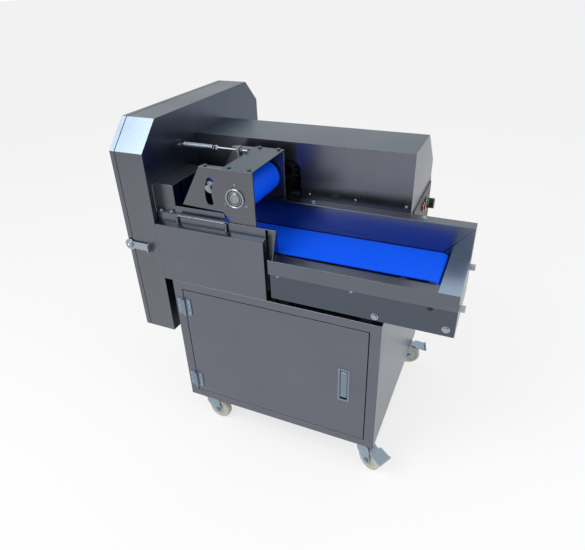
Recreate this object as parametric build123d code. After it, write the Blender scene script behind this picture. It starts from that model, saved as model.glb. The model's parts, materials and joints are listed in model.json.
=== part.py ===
from build123d import *
import os
from math import acos, atan2, cos, degrees, hypot, pi, radians, sin, sqrt, tan

# Vegetable slicing machine: a floor cabinet on casters, a feed conveyor with a
# sprung press belt above it, a rotary knife in an octagonal housing on the left
# and a motor cover along the back.
# Working frame while modelling, in millimetres: X to the right towards the
# infeed end, Y to the rear, Z up from the floor, X = Y = 0 at the cabinet's
# front left edge. The finished set is moved at the end, so that its origin is
# the middle of the bounding box on the floor.

# Driving dimensions: sheet and running clearances
sheet = 2.0
gap = 0.3
running = 0.05

# Cabinet and door
caster_height = 107.0
cabinet_width = 600.0
cabinet_depth = 565.0
cabinet_height = 430.0
door_side_margin = 28.5
door_top_margin = 25.0
door_bottom_margin = 24.0
door_gap = 2.0
door_thickness = 18.0
vent_count = 6
vent_width = 90.0
vent_height = 6.0
vent_pitch = 18.0

# Electric units inside the cabinet
unit_plate_low = 60.0
unit_plate_width = 240.0
unit_plate_height = 260.0
unit_plate_thickness = 3.0
unit_plate_from_right = 40.0
unit_stand_off = 12.0
unit_margin = 20.0
inverter_width = 90.0
inverter_height = 150.0
inverter_depth = 115.0
inverter_fins = 7
contactor_width = 55.0
contactor_height = 75.0
contactor_depth = 70.0
strip_height = 35.0
strip_depth = 40.0
strip_ways = 9

# Butt hinges and the flush lock of the cabinet door
leaf_length = 54.0
leaf_width = 22.0
leaf_thickness = 2.5
knuckle_radius = 5.0
hinge_pin_radius = 2.5
hinge_low_centre = 72.5
hinge_high_centre = 347.0
lock_width = 33.0
lock_height = 112.0
lock_depth = 14.0
lock_low = 155.0
lock_from_opening_edge = 46.0
lock_rim = 6.0

# Casters
wheel_radius = 37.5
wheel_width = 24.0
caster_trail = 34.0
caster_plate_size = 70.0
caster_plate_thickness = 3.0
caster_inset = 42.0
fork_sheet = 3.0
fork_wall_gap = 2.0
fork_crown_top = 97.6
axle_radius = 5.0
king_pin_radius = 6.0
raceway_radius = 22.0
front_left_turn = -5.0
front_right_turn = -28.0
rear_left_turn = 160.0
rear_right_turn = 14.0

# Lower body and its removable ledge cover
body_left = -25.0
body_front_right = 294.0
body_front_top = 706.0
pedestal_front = 205.0
pedestal_rear = 515.0
ledge_top = 730.0
cover_depth = 20.0
cover_rise = 3.5
rod_handle_radius = 3.0
rod_handle_left = 40.0
rod_handle_length = 146.0
rod_handle_height = 28.5
rod_handle_y = 13.0
ledge_slot_from_right = 16.0
ledge_slot_pitch = 198.0
ledge_slot_width = 18.0
ledge_slot_depth = 8.0

# Cutter housing, door and seal
housing_width = 82.0
housing_depth = 619.0
housing_low = 354.0
housing_high = 963.0
chamfer_front = 70.0
chamfer_rear = 68.0
housing_door_thickness = 14.0
seal_thickness = 2.5
seal_width = 12.0
housing_hinge_radius = 6.0
housing_leaf_length = 70.0
latch_height = 630.0
latch_length = 68.0
latch_tongue = 22.0

# Rotary knife and its drive
spindle_y = 310.0
spindle_z = 650.0
spindle_radius = 15.0
knife_disc_radius = 125.0
knife_disc_thickness = 8.0
knife_tip_radius = 272.0
knife_thickness = 3.0
knife_to_mouth = 3.0
knife_hub_radius = 34.0
knife_hub_length = 18.0
blade_bolt_radius = 5.0
spindle_end = 8.0
spindle_nut = 36.0
pillow_left = 92.0
pillow_width = 24.0
spindle_pulley_radius = 45.0
motor_pulley_radius = 35.0
pulley_width = 28.0
motor_y = 382.0
motor_z = 812.0
motor_radius = 56.0
motor_fin = 6.0
motor_fin_count = 24
motor_shaft_radius = 9.5
motor_left = 82.0
motor_length = 215.0
motor_nose = 8.0
motor_shield = 14.0
motor_fin_thickness = 3.0
motor_foot_drop = 8.0
motor_foot_width = 26.0
motor_foot_reach = 70.0
motor_foot_thickness = 6.0
motor_shaft_grip = 20.0
fan_cover_length = 42.0
fan_hole_count = 8
terminal_box_length = 70.0
terminal_box_depth = 32.0
terminal_box_height = 52.0

# Motor cover
cover_front = 242.0
cover_high = 883.0
cover_chamfer_y = 102.0
cover_chamfer_z = 98.0
arch_left = 180.0
arch_right = 294.0
arch_top = 833.0
arch_corner = 28.0

# Conveyor
conveyor_right = 764.0
lip_left = 308.0
lip_front = -9.0
lip_high = 666.0
lip_height = 40.0
trough_low = 550.0
side_plate_front = 1.0
back_plate_front = 170.0
back_plate_top = 745.0
back_flange_depth = 34.0
tunnel_wall_front = 26.0
tunnel_top = 734.0
tunnel_wall_top = 755.0
tunnel_right = 322.0
belt_front = 30.0
belt_rear = 167.0
belt_top = 671.0
belt_thickness = 2.5
feed_roller_radius = 22.0
feed_shaft_radius = 8.0
drive_roller_x = 22.0
bed_fold = 16.0
bed_bar_width = 16.0
bed_bar_height = 10.0
bed_bar_inset = 24.0
tail_roller_x = 697.0
tail_roller_radius = 16.0
tension_stem_radius = 4.0
knob_radius = 8.0
knob_length = 13.0
front_screw_z = 626.0
rear_screw_z = 638.0

# Feed mouth and throat hood
mouth_top = 775.0
mouth_wall = 4.0
hood_right = 28.0
hood_front = 31.0
hood_rear = 188.0
hood_top = 808.0

# Press unit
press_plate_thickness = 5.0
press_plate_front = 23.0
press_top = 872.0
press_left_top = 121.0
press_left_low = 58.5
press_left_low_z = 764.0
press_right = 267.0
notch_left = 178.0
notch_right = 191.0
notch_top = 760.0
drum_x = 215.0
drum_z = 802.0
drum_radius = 38.0
press_belt_thickness = 3.0
front_roller_radius = 14.0
arm_length = 75.5
arm_rise_angle = 13.0
arm_down_angle = 26.0
arm_up_angle = 13.0
slot_spare_angle = 1.5
arm_thickness = 5.0
press_shaft_radius = 8.0
bearing_radius = 25.0
bearing_screw_circle = 34.0
slot_clearance = 1.5
lug_x = 165.0
lid_left = 185.0
lug_y = 150.0
spring_z = 878.0
spring_radius = 6.5
spring_wire = 1.6
spring_right = 86.0

# Gears between the feed output and the press drum
output_teeth = 16
press_teeth = 27
gear_module = 5.0
gear_width = 10.0
gear_backlash = 0.4
gear_front = 248.0
output_x = 240.0
timing_pulley_radius = 24.0
timing_belt_thickness = 3.0
timing_belt_width = 10.0
timing_front = 212.0
gearmotor_radius = 35.0
gearmotor_length = 150.0

# Control panel
panel_front = 266.0
panel_rear = 506.0
panel_low = 560.0
panel_high = 722.0
panel_thickness = 3.0
dial_radius = 15.0
dial_length = 20.0
button_radius = 9.0
button_travel = 3.0

# Sizes that follow from the driving ones
deck = caster_height + cabinet_height
body_floor = deck + sheet
housing_right = body_left
housing_wall = housing_right - sheet
housing_left = housing_right - housing_width - sheet
seal_left = housing_left - seal_thickness
door_outer = seal_left - housing_door_thickness
roller_z = belt_top - belt_thickness - feed_roller_radius
tail_z = belt_top - belt_thickness - tail_roller_radius
cover_right = cabinet_width - 1.0
belt_middle_y = (belt_front + belt_rear) / 2
press_rear_plate_front = back_plate_front + back_flange_depth - 6.0
knife_right = housing_wall - 24.0
mouth_left = knife_right + knife_to_mouth
gear_distance = (output_teeth + press_teeth) * gear_module / 2
output_z = drum_z - sqrt(gear_distance ** 2 - (output_x - drum_x) ** 2)
roller_x_at_rest = drum_x - arm_length * cos(radians(arm_rise_angle))
roller_z_at_rest = drum_z + arm_length * sin(radians(arm_rise_angle))
hinge_line_x = door_side_margin + door_gap / 2
hinge_line_y = -knuckle_radius
housing_hinge_y = housing_depth + housing_hinge_radius + gap
housing_hinge_x = seal_left - seal_thickness


def block(x, y, z):
    """A box from its low and high limits along X, Y and Z."""
    size = [high - low for low, high in (x, y, z)]
    centre = [(high + low) / 2 for low, high in (x, y, z)]
    return Pos(*centre) * Box(*size)


def bar(radius, start, end):
    """A round bar between two points."""
    axis = Vector(*end) - Vector(*start)
    return Solid.make_cylinder(radius, axis.length, Plane(origin=start, z_dir=axis))


def ring(outer, inner, start, end):
    """A round tube between two points."""
    return bar(outer, start, end) - bar(inner, start, end)


def prism(points, direction):
    """A polygon of 3-D points, extruded by a vector."""
    return Solid.extrude(Face(Wire.make_polygon([Vector(*p) for p in points], close=True)), Vector(*direction))


def prism_x(outline, left, right):
    """A polygon in Y and Z, between two X places."""
    return prism([(left, y, z) for y, z in outline], (right - left, 0, 0))


def prism_y(outline, front, rear):
    """A polygon in X and Z, between two Y places."""
    return prism([(x, front, z) for x, z in outline], (0, rear - front, 0))


def prism_z(outline, low, high):
    """A polygon in X and Y, between two Z places."""
    return prism([(x, y, low) for x, y in outline], (0, 0, high - low))


def joined(pieces):
    """One solid from pieces that touch or overlap."""
    pieces = list(pieces)
    whole = pieces[0]
    for piece in pieces[1:]:
        whole = whole + piece
    return whole


def group(pieces):
    """Separate solids kept in one node."""
    return Compound([solid for piece in pieces for solid in piece.solids()])


def hex_head(across_flats, start, end):
    """A hexagonal nut or bolt head between two points."""
    axis = Vector(*end) - Vector(*start)
    plane = Plane(origin=start, z_dir=axis)
    outline = plane * RegularPolygon(across_flats / 2, 6, major_radius=False)
    return Solid.extrude(outline.face(), axis)


def loop_y(x1, z1, r1, x2, z2, r2, front, rear):
    """The filled outline of a belt round two rollers along Y."""
    span = hypot(x2 - x1, z2 - z1)
    along = atan2(z2 - z1, x2 - x1)
    lean = acos((r1 - r2) / span)
    corners = []
    for x, z, r, side in ((x1, z1, r1, 1), (x1, z1, r1, -1), (x2, z2, r2, -1), (x2, z2, r2, 1)):
        corners.append((x + r * cos(along + side * lean), z + r * sin(along + side * lean)))
    web = prism_y(corners, front, rear)
    return joined([web, bar(r1, (x1, front, z1), (x1, rear, z1)), bar(r2, (x2, front, z2), (x2, rear, z2))])


def loop_x(y1, z1, r1, y2, z2, r2, left, right):
    """The filled outline of a belt round two pulleys along X."""
    span = hypot(y2 - y1, z2 - z1)
    along = atan2(z2 - z1, y2 - y1)
    lean = acos((r1 - r2) / span)
    corners = []
    for y, z, r, side in ((y1, z1, r1, 1), (y1, z1, r1, -1), (y2, z2, r2, -1), (y2, z2, r2, 1)):
        corners.append((y + r * cos(along + side * lean), z + r * sin(along + side * lean)))
    web = prism_x(corners, left, right)
    return joined([web, bar(r1, (left, y1, z1), (right, y1, z1)), bar(r2, (left, y2, z2), (right, y2, z2))])


# Cabinet

def cabinet_shell():
    low = caster_height
    outer = block((0, cabinet_width), (0, cabinet_depth), (low, deck))
    inner = block((sheet, cabinet_width - sheet), (sheet, cabinet_depth - sheet), (low + sheet, deck - sheet))
    opening = block(
        (door_side_margin, cabinet_width - door_side_margin),
        (-1, sheet + 1),
        (low + door_bottom_margin, deck - door_top_margin),
    )
    shell = outer - inner - opening
    vents_low = low + cabinet_height / 2 - vent_pitch * (vent_count - 1) / 2
    for side in (-1, 1):
        middle = cabinet_width / 2 + side * vent_width
        for row in range(vent_count):
            z = vents_low + row * vent_pitch
            shell -= block(
                (middle - vent_width / 2, middle + vent_width / 2),
                (cabinet_depth - sheet - 1, cabinet_depth + 1),
                (z, z + vent_height),
            )
    return shell


def cabinet_door():
    left = door_side_margin + door_gap
    right = cabinet_width - door_side_margin - door_gap
    low = caster_height + door_bottom_margin + door_gap
    high = deck - door_top_margin - door_gap
    outer = block((left, right), (0, door_thickness), (low, high))
    inner = block((left + sheet, right - sheet), (sheet, door_thickness + 1), (low + sheet, high - sheet))
    hole = block(
        (lock_left() + lock_rim / 2, lock_left() + lock_width - lock_rim / 2),
        (-1, sheet + 1),
        (caster_height + lock_low + lock_rim / 2, caster_height + lock_low + lock_height - lock_rim / 2),
    )
    return outer - inner - hole


def lock_left():
    return cabinet_width - door_side_margin - lock_from_opening_edge - lock_width


def door_lock():
    """The flush lock: a dished bezel, and a paddle that lifts about its low end."""
    left = lock_left()
    right = left + lock_width
    low = caster_height + lock_low
    high = low + lock_height
    plate = block((left, right), (-1.5, 0), (low, high))
    inset = lock_rim / 2
    case = block((left + inset, right - inset), (0, lock_depth), (low + inset, high - inset))
    dish = block((left + lock_rim, right - lock_rim), (-2, lock_depth - 2), (low + lock_rim, high - lock_rim))
    bezel = joined([plate, case]) - dish
    side = left + lock_rim + 1.5
    pivot_z = low + lock_rim + 8
    paddle_high = high - lock_rim - 3
    grip = block((side, right - lock_rim - 1.5), (-0.5, 4.5), (pivot_z, paddle_high))
    boss = bar(5, (side, 4.5, pivot_z), (right - lock_rim - 1.5, 4.5, pivot_z))
    pin = bar(2, (left + lock_rim, 4.5, pivot_z), (right - lock_rim, 4.5, pivot_z))
    paddle = joined([grip, boss]) - bar(2 + running, (left, 4.5, pivot_z), (right, 4.5, pivot_z))
    return group([bezel, pin]), paddle


def leaf_pair(line_x, line_y, low, length, radius, plate_y, width, thickness):
    """One butt hinge with a vertical pin, facing -Y: the fixed leaf and the moving leaf with its pin."""
    third = length / 3
    fixed = [block((line_x - width, line_x - 1), plate_y, (low, low + length))]
    moving = [block((line_x + 1, line_x + width), plate_y, (low, low + length))]
    for side, level in ((fixed, 0), (moving, 1), (fixed, 2)):
        start = low + third * level + gap / 2
        end = low + third * (level + 1) - gap / 2
        reach = (line_x - width + 1, line_x) if side is fixed else (line_x, line_x + width - 1)
        side.append(bar(radius, (line_x, line_y, start), (line_x, line_y, end)))
        side.append(block(reach, plate_y, (start, end)))
    own = []
    for side, inner in ((fixed, hinge_pin_radius + running), (moving, hinge_pin_radius + running)):
        whole = joined(side)
        other = [level for level in (0, 1, 2) if (level == 1) == (side is fixed)]
        for level in other:
            start = low + third * level - gap / 2
            end = low + third * (level + 1) + gap / 2
            whole -= bar(radius + gap, (line_x, line_y, start), (line_x, line_y, end))
        own.append(whole - bar(inner, (line_x, line_y, low - 1), (line_x, line_y, low + length + 1)))
    pin = bar(hinge_pin_radius, (line_x, line_y, low), (line_x, line_y, low + length))
    return own[0], own[1], pin


def cabinet_hinges():
    fixed, moving = [], []
    for centre in (hinge_low_centre, hinge_high_centre):
        low = caster_height + centre - leaf_length / 2
        leaf, mover, pin = leaf_pair(
            hinge_line_x, hinge_line_y, low, leaf_length, knuckle_radius,
            (-leaf_thickness, 0), leaf_width, leaf_thickness,
        )
        fixed += [leaf, pin]
        moving.append(mover)
    return fixed, group(moving)


def electric_units():
    """A mounting plate on the cabinet's back wall with an inverter, a contactor and a terminal strip."""
    rear = cabinet_depth - sheet
    plate_front = rear - unit_stand_off - unit_plate_thickness
    left = cabinet_width - unit_plate_from_right - unit_plate_width
    low = caster_height + unit_plate_low
    stand_offs = [
        bar(unit_stand_off / 2, (x, plate_front, z), (x, rear, z))
        for x in (left + unit_margin, left + unit_plate_width - unit_margin)
        for z in (low + 1.5 * unit_margin, low + unit_plate_height - 1.5 * unit_margin)
    ]
    plate = block(
        (left, left + unit_plate_width), (plate_front, plate_front + unit_plate_thickness), (low, low + unit_plate_height))
    strip_low = low + unit_margin
    inverter_left = left + unit_margin
    inverter_low = strip_low + strip_height + unit_margin
    inverter = block(
        (inverter_left, inverter_left + inverter_width),
        (plate_front - inverter_depth, plate_front),
        (inverter_low, inverter_low + inverter_height),
    )
    fin_pitch = inverter_width / (inverter_fins + 0.5)
    for i in range(inverter_fins):
        x = inverter_left + fin_pitch * (i + 0.5)
        inverter -= block(
            (x, x + fin_pitch / 2),
            (plate_front - inverter_depth - 1, plate_front - inverter_depth + fin_pitch),
            (inverter_low + unit_margin, inverter_low + inverter_height / 2),
        )
    contactor_right = left + unit_plate_width - 2 * unit_margin
    contactor = block(
        (contactor_right - contactor_width, contactor_right),
        (plate_front - contactor_depth, plate_front),
        (inverter_low + unit_margin, inverter_low + unit_margin + contactor_height),
    )
    strip_front = plate_front - strip_depth
    strip = block(
        (inverter_left, left + unit_plate_width - unit_margin),
        (strip_front, plate_front),
        (strip_low, strip_low + strip_height),
    )
    way_pitch = (unit_plate_width - 2 * unit_margin) / (strip_ways + 0.5)
    for i in range(strip_ways):
        x = inverter_left + way_pitch * (i + 0.5)
        strip -= block(
            (x, x + way_pitch / 2),
            (strip_front - 1, strip_front + strip_depth / 4),
            (strip_low + strip_height / 6, strip_low + strip_height * 5 / 6),
        )
    return group([joined([plate] + stand_offs), inverter, contactor, strip])


# Casters

def caster_places():
    rear = cabinet_depth - caster_inset
    right = cabinet_width - caster_inset
    return {
        "front_left": (caster_inset, caster_inset, front_left_turn),
        "front_right": (right, caster_inset, front_right_turn),
        "rear_left": (caster_inset, rear, rear_left_turn),
        "rear_right": (right, rear, rear_right_turn),
    }


def caster_plate(x, y):
    """Top plate with a raceway and a king pin that carries the fork."""
    half = caster_plate_size / 2
    top = caster_height
    low = top - caster_plate_thickness
    plate = block((x - half, x + half), (y - half, y + half), (low, top))
    race = Solid.make_cone(raceway_radius - 4, raceway_radius, low - fork_crown_top - gap, Plane((x, y, fork_crown_top + gap)))
    crown_low = fork_crown_top - fork_sheet
    pin = bar(king_pin_radius, (x, y, crown_low - gap), (x, y, low))
    head = bar(king_pin_radius + 4, (x, y, crown_low - gap - 3), (x, y, crown_low - gap))
    corner = half - 9
    bolts = [
        hex_head(10, (x + sx * corner, y + sy * corner, low - 6), (x + sx * corner, y + sy * corner, low))
        for sx in (-1, 1) for sy in (-1, 1)
    ]
    return [joined([plate, race, pin, head])] + bolts


def caster_fork():
    """The fork at the origin with its trail along +X: a crown and two tapered cheeks, with the axle bolt."""
    inner = wheel_width / 2 + fork_wall_gap
    outer = inner + fork_sheet
    crown_low = fork_crown_top - fork_sheet
    front = raceway_radius + 2
    crown = bar(front, (0, 0, crown_low), (0, 0, fork_crown_top))
    crown = crown & block((-front, front), (-outer, outer), (crown_low, fork_crown_top))
    crown = joined([crown, block((0, front + 4), (-outer, outer), (crown_low, fork_crown_top))])
    boss = 12.0
    cheeks = []
    for side in (-1, 1):
        low_y, high_y = sorted((side * inner, side * outer))
        web = loop_y(caster_trail, wheel_radius, boss, caster_trail / 2 + 2, fork_crown_top - 30, 24, low_y, high_y)
        web = joined([web, block((-14, front + 4), (low_y, high_y), (crown_low - 20, fork_crown_top))])
        web = web & block((-14, caster_trail + boss + 1), (low_y, high_y), (0, fork_crown_top))
        web -= bar(axle_radius + running, (caster_trail, low_y - 1, wheel_radius), (caster_trail, high_y + 1, wheel_radius))
        cheeks.append(web)
    fork = joined([crown] + cheeks)
    fork -= bar(king_pin_radius + running, (0, 0, crown_low - 1), (0, 0, fork_crown_top + 1))
    pedal_x, pedal_z = pedal_pivot()
    fork -= bar(3 + running, (pedal_x, -outer - 1, pedal_z), (pedal_x, outer + 1, pedal_z))
    shank = bar(axle_radius, (caster_trail, -outer, wheel_radius), (caster_trail, outer, wheel_radius))
    head = hex_head(13, (caster_trail, -outer - 5, wheel_radius), (caster_trail, -outer, wheel_radius))
    nut = hex_head(13, (caster_trail, outer, wheel_radius), (caster_trail, outer + 5, wheel_radius))
    return [fork, joined([shank, head, nut])]


def caster_wheel():
    """A moulded wheel with a rounded tread, a dished web and a hub."""
    half = wheel_width / 2
    hub = half + fork_wall_gap - gap
    tread = 5.0
    half_profile = [
        (axle_radius + running, hub),
        (11, hub),
        (12.5, half - 3),
        (wheel_radius - 11, half - 4),
        (wheel_radius - 8, half),
        (wheel_radius - tread, half),
        (wheel_radius - 1.2, half - 2.2),
        (wheel_radius, half - tread),
    ]
    outline = half_profile + [(r, -w) for r, w in reversed(half_profile)]
    face = Face(Wire.make_polygon([Vector(r, w, 0) for r, w in outline], close=True))
    wheel = Solid.revolve(face, 360, Axis.Y)
    return Pos(caster_trail, 0, wheel_radius) * wheel


def pedal_pivot():
    return 20.0, 84.0


def brake_pedal():
    """A stamped foot lever on a pin between the cheeks, over the tread."""
    x, z = pedal_pivot()
    inner = wheel_width / 2 + fork_wall_gap - 0.5
    outer = wheel_width / 2 + fork_wall_gap + fork_sheet
    pin = bar(3, (x, -outer, z), (x, outer, z))
    barrel = bar(6, (x, -inner, z), (x, inner, z))
    slope = tan(radians(14))
    def strip(x0, x1, half, thickness):
        z0 = z + 3 - (x0 - x) * slope
        z1 = z + 3 - (x1 - x) * slope
        outline = [(x0, z0), (x1, z1), (x1, z1 + thickness), (x0, z0 + thickness)]
        return prism_y(outline, -half, half)
    neck = strip(x - 2, x + 34, inner, fork_sheet)
    foot = strip(x + 33, x + 72, inner + 8, fork_sheet)
    rib = strip(x + 69, x + 72, inner + 8, fork_sheet + 5)
    return joined([pin, barrel, neck, foot, rib])


def placed_caster(shape, place):
    x, y, turn = place
    return Pos(x, y, 0) * Rot(0, 0, turn) * shape


# Lower body

def body_frame():
    """Welded sheet body: front panel with folds, floor, pedestal under the motor cover, and the motor's stand."""
    left, right = body_left, body_front_right
    floor_front = block((left, right), (0, pedestal_front + sheet), (deck, body_floor))
    floor_rear = block((left, cabinet_width), (pedestal_front, pedestal_rear), (deck, body_floor))
    front = block((left, right), (0, sheet), (deck, body_front_top - sheet))
    fold = block((left, right), (0, 14), (body_front_top - 2 * sheet, body_front_top - sheet))
    end_fold = block((right - sheet, right), (0, 22), (deck, body_front_top - sheet))
    wall = block((left, cabinet_width), (pedestal_front, pedestal_front + sheet), (deck, ledge_top))
    back = block((left, cabinet_width), (pedestal_rear - sheet, pedestal_rear), (deck, ledge_top))
    end = block((cabinet_width - sheet, cabinet_width), (pedestal_front, pedestal_rear), (deck, ledge_top))
    ledge = block((left, cabinet_width), (pedestal_front, cover_front + 4), (ledge_top - sheet, ledge_top))
    flange = block((left, left + sheet), (0, 20), (deck, body_front_top - sheet))
    rear_flange = block((left, left + sheet), (pedestal_rear - 20, pedestal_rear), (deck, ledge_top))
    plates = [floor_front, floor_rear, front, fold, end_fold, wall, back, end, ledge, flange, rear_flange]
    body = joined(plates)
    shaft_hole = feed_shaft_radius + 8
    body -= bar(shaft_hole, (drive_roller_x, pedestal_front - 1, roller_z), (drive_roller_x, pedestal_front + sheet + 1, roller_z))
    slot_front = (pedestal_front + cover_front - ledge_slot_depth) / 2
    for i in range(2):
        slot_right = cabinet_width - ledge_slot_from_right - i * ledge_slot_pitch + ledge_slot_width / 2
        body -= block(
            (slot_right - ledge_slot_width, slot_right),
            (slot_front, slot_front + ledge_slot_depth),
            (ledge_top - sheet - 1, ledge_top + 1),
        )
    return joined([body] + motor_stand())


def motor_stand():
    """A plate on four legs that the knife motor is bolted to."""
    low = motor_z - motor_radius - motor_fin - motor_foot_drop
    front, rear = motor_y - motor_foot_reach - 25, motor_y + motor_foot_reach + 25
    left, right = motor_left + 18, motor_left + motor_length + 8
    plate = block((left, right), (front, rear), (low - 4, low))
    legs = [
        block((x, x + 20), (y, y + 20), (deck + 1, low - 3))
        for x in (left + 22, right - 22) for y in (front, rear - 20)
    ]
    return [plate] + legs


def ledge_cover():
    """Lift-off cover along the front edge, with a bent rod handle welded to it."""
    left, right = body_left + sheet + 0.5, body_front_right
    low = body_front_top - sheet
    step = low + cover_rise
    high = tunnel_top - gap
    outline = [
        (0, low), (cover_depth, low + cover_rise - 0.5), (cover_depth, high),
        (cover_depth - sheet, high), (cover_depth - sheet, step + sheet), (0, low + sheet),
    ]
    plate = prism_x(outline, left, right)
    y = rod_handle_y
    start = low + cover_rise / 2
    top = start + rod_handle_height
    bend = 6.0
    x0, x1 = rod_handle_left, rod_handle_left + rod_handle_length
    path = FilletPolyline((x0, y, start), (x0, y, top), (x1, y, top), (x1, y, start), radius=bend)
    handle = sweep(Plane(origin=(x0, y, start), z_dir=(0, 0, 1)) * Circle(rod_handle_radius), path=path)
    return joined([plate, handle])


# Cutter housing

def octagon(inset):
    """The housing's side outline in Y and Z, as four upper corners cut off, drawn inwards by an inset."""
    diagonal = inset * tan(radians(22.5))
    return [
        (inset, housing_low + inset),
        (inset, housing_high - chamfer_front - diagonal),
        (chamfer_front + diagonal, housing_high - inset),
        (housing_depth - chamfer_rear - diagonal, housing_high - inset),
        (housing_depth - inset, housing_high - chamfer_rear - diagonal),
        (housing_depth - inset, housing_low + inset),
    ]


def cutter_housing():
    """Open-bottomed shell with the right wall, a keeper pad for the latch and an eye for the press spring."""
    outer = prism_x(octagon(0), housing_left, housing_right)
    inner = prism_x(octagon(sheet), housing_left - 1, housing_wall)
    inner = joined([inner, block((housing_left - 1, housing_wall), (sheet, housing_depth - sheet), (housing_low - 1, housing_low + 10))])
    shell = outer - inner
    mouth = block((housing_wall - 1, housing_right + 1), mouth_outer_y(), mouth_outer_z())
    shell = shell - mouth
    shell -= bar(spindle_radius + 6, (housing_wall - 1, spindle_y, spindle_z), (housing_right + 1, spindle_y, spindle_z))
    keeper_right = door_outer + latch_length + 10
    keeper = block((keeper_right - 14, keeper_right), (-sheet, 0), (latch_height - 14, latch_height + 14))
    lug = block((housing_right, housing_right + 12), (lug_y - 3, lug_y + 3), (spring_z - 10, spring_z + 10))
    lug -= bar(3.5, (housing_right + 6, lug_y - 4, spring_z), (housing_right + 6, lug_y + 4, spring_z))
    slot = spring_wire + 0.4
    lug -= block((housing_right + 6, housing_right + 13), (lug_y - 4, lug_y + 4), (spring_z - slot, spring_z + slot))
    return joined([shell, keeper, lug])


def housing_door():
    """A pan door with a folded rim."""
    outer = prism_x(octagon(0), door_outer, seal_left)
    inner = prism_x(octagon(sheet), door_outer + sheet, seal_left + 1)
    return outer - inner


def housing_seal():
    """Flat gasket round the door's rim, a little short of the housing when the door is shut."""
    outer = prism_x(octagon(0.6), seal_left, housing_left - gap)
    inner = prism_x(octagon(seal_width), seal_left - 1, housing_left)
    return outer - inner


def housing_hinges():
    """Two hinges on the rear edge; the fixed leaves lie on the housing, the moving ones on the door."""
    fixed, moving = [], []
    radius = housing_hinge_radius
    x, y = housing_hinge_x, housing_hinge_y
    leaf = 26.0
    third = housing_leaf_length / 3
    for centre in (housing_low + 110, housing_high - chamfer_rear - 90):
        low = centre - housing_leaf_length / 2
        plate = (housing_depth, housing_depth + leaf_thickness)
        own = {"fixed": [], "moving": []}
        for name, level in (("fixed", 0), ("moving", 1), ("fixed", 2)):
            start = low + third * level + gap / 2
            end = low + third * (level + 1) - gap / 2
            own[name].append(bar(radius, (x, y, start), (x, y, end)))
        fixed_leaf = block((x, housing_left + leaf), plate, (low, low + housing_leaf_length))
        fixed_leaf -= block((x - 1, x + radius + gap), plate, (low + third - gap / 2, low + 2 * third + gap / 2))
        moving_leaf = block((door_outer + 1, x), plate, (low + third + gap / 2, low + 2 * third - gap / 2))
        hole = bar(hinge_pin_radius + running, (x, y, low - 1), (x, y, low + housing_leaf_length + 1))
        fixed.append(joined([fixed_leaf] + own["fixed"]) - hole)
        moving.append(joined([moving_leaf] + own["moving"]) - hole)
        fixed.append(bar(hinge_pin_radius, (x, y, low), (x, y, low + housing_leaf_length)))
    return fixed, group(moving)


def latch_pivot():
    return door_outer + 7.0, latch_height


def latch_lever():
    """A flat lever on a stud in the door's front edge; its tongue lies over the housing's keeper pad."""
    x, z = latch_pivot()
    front, rear = -sheet - gap - 4, -sheet - gap
    tongue = block((x, x + latch_length), (front, rear), (z - latch_tongue / 2, z + latch_tongue / 2))
    disc = bar(16, (x, front, z), (x, rear, z))
    grip = block((x + latch_length - 4, x + latch_length), (front - 10, rear), (z - latch_tongue / 2, z + latch_tongue / 2))
    hub = ring(9, 5.05, (x, front - 5, z), (x, front, z))
    lever = joined([tongue, disc, grip]) - bar(5.05, (x, front - 1, z), (x, rear + 1, z))
    return joined([lever, hub])


def latch_stud():
    x, z = latch_pivot()
    front, rear = -sheet - gap - 4, -sheet - gap
    collar = bar(7, (x, rear + gap / 2, z), (x, 0, z))
    stud = bar(5, (x, front - 5, z), (x, 0, z))
    return joined([collar, stud])


# Rotary knife

def knife_hub():
    """A disc on a hub with the blade seats' bolt holes."""
    left = knife_right - knife_thickness - knife_disc_thickness
    disc = bar(knife_disc_radius, (left, spindle_y, spindle_z), (left + knife_disc_thickness, spindle_y, spindle_z))
    hub_left = left - knife_hub_length
    right = left + knife_disc_thickness
    hub = bar(knife_hub_radius, (hub_left, spindle_y, spindle_z), (left, spindle_y, spindle_z))
    whole = joined([disc, hub])
    whole -= bar(spindle_radius, (hub_left - 1, spindle_y, spindle_z), (right + 1, spindle_y, spindle_z))
    for y, z in blade_bolts():
        whole -= bar(blade_bolt_radius, (left - 1, y, z), (right + 1, y, z))
    return whole


def blade_bolts():
    points = []
    for turn in (0, 180):
        for angle, radius in ((8, 70), (28, 92), (48, 108)):
            a = radians(turn + angle)
            points.append((spindle_y + radius * cos(a), spindle_z + radius * sin(a)))
    return points


def knife_blades():
    """Two crescent blades bolted to the disc's face, each with a ground bevel."""
    left = knife_right - knife_thickness
    pieces = []
    for turn in (0, 180):
        def at(radius, angle):
            a = radians(turn + angle)
            return (left, spindle_y + radius * cos(a), spindle_z + radius * sin(a))
        edge = ThreePointArc(at(58, -10), at(175, -38), at(knife_tip_radius, -18))
        tip = Line(at(knife_tip_radius, -18), at(knife_tip_radius, -6))
        back = ThreePointArc(at(knife_tip_radius, -6), at(190, 12), at(118, 56))
        root = Line(at(118, 56), at(58, 40))
        heel = Line(at(58, 40), at(58, -10))
        face = Face(Wire([edge, tip, back, root, heel]))
        blade = Solid.extrude(face, Vector(knife_thickness, 0, 0))
        pieces.append(blade)
    disc_left = left - knife_disc_thickness
    bolts = []
    for y, z in blade_bolts():
        for index, blade in enumerate(pieces):
            pieces[index] = blade - bar(blade_bolt_radius, (left - 1, y, z), (knife_right + 1, y, z))
        shank = bar(blade_bolt_radius, (disc_left, y, z), (left, y, z))
        nut = hex_head(3.2 * blade_bolt_radius, (disc_left - 8, y, z), (disc_left, y, z))
        flush = bar(blade_bolt_radius, (left, y, z), (knife_right, y, z))
        bolts.append(joined([nut, shank, flush]))
    return group(pieces + bolts)


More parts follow.
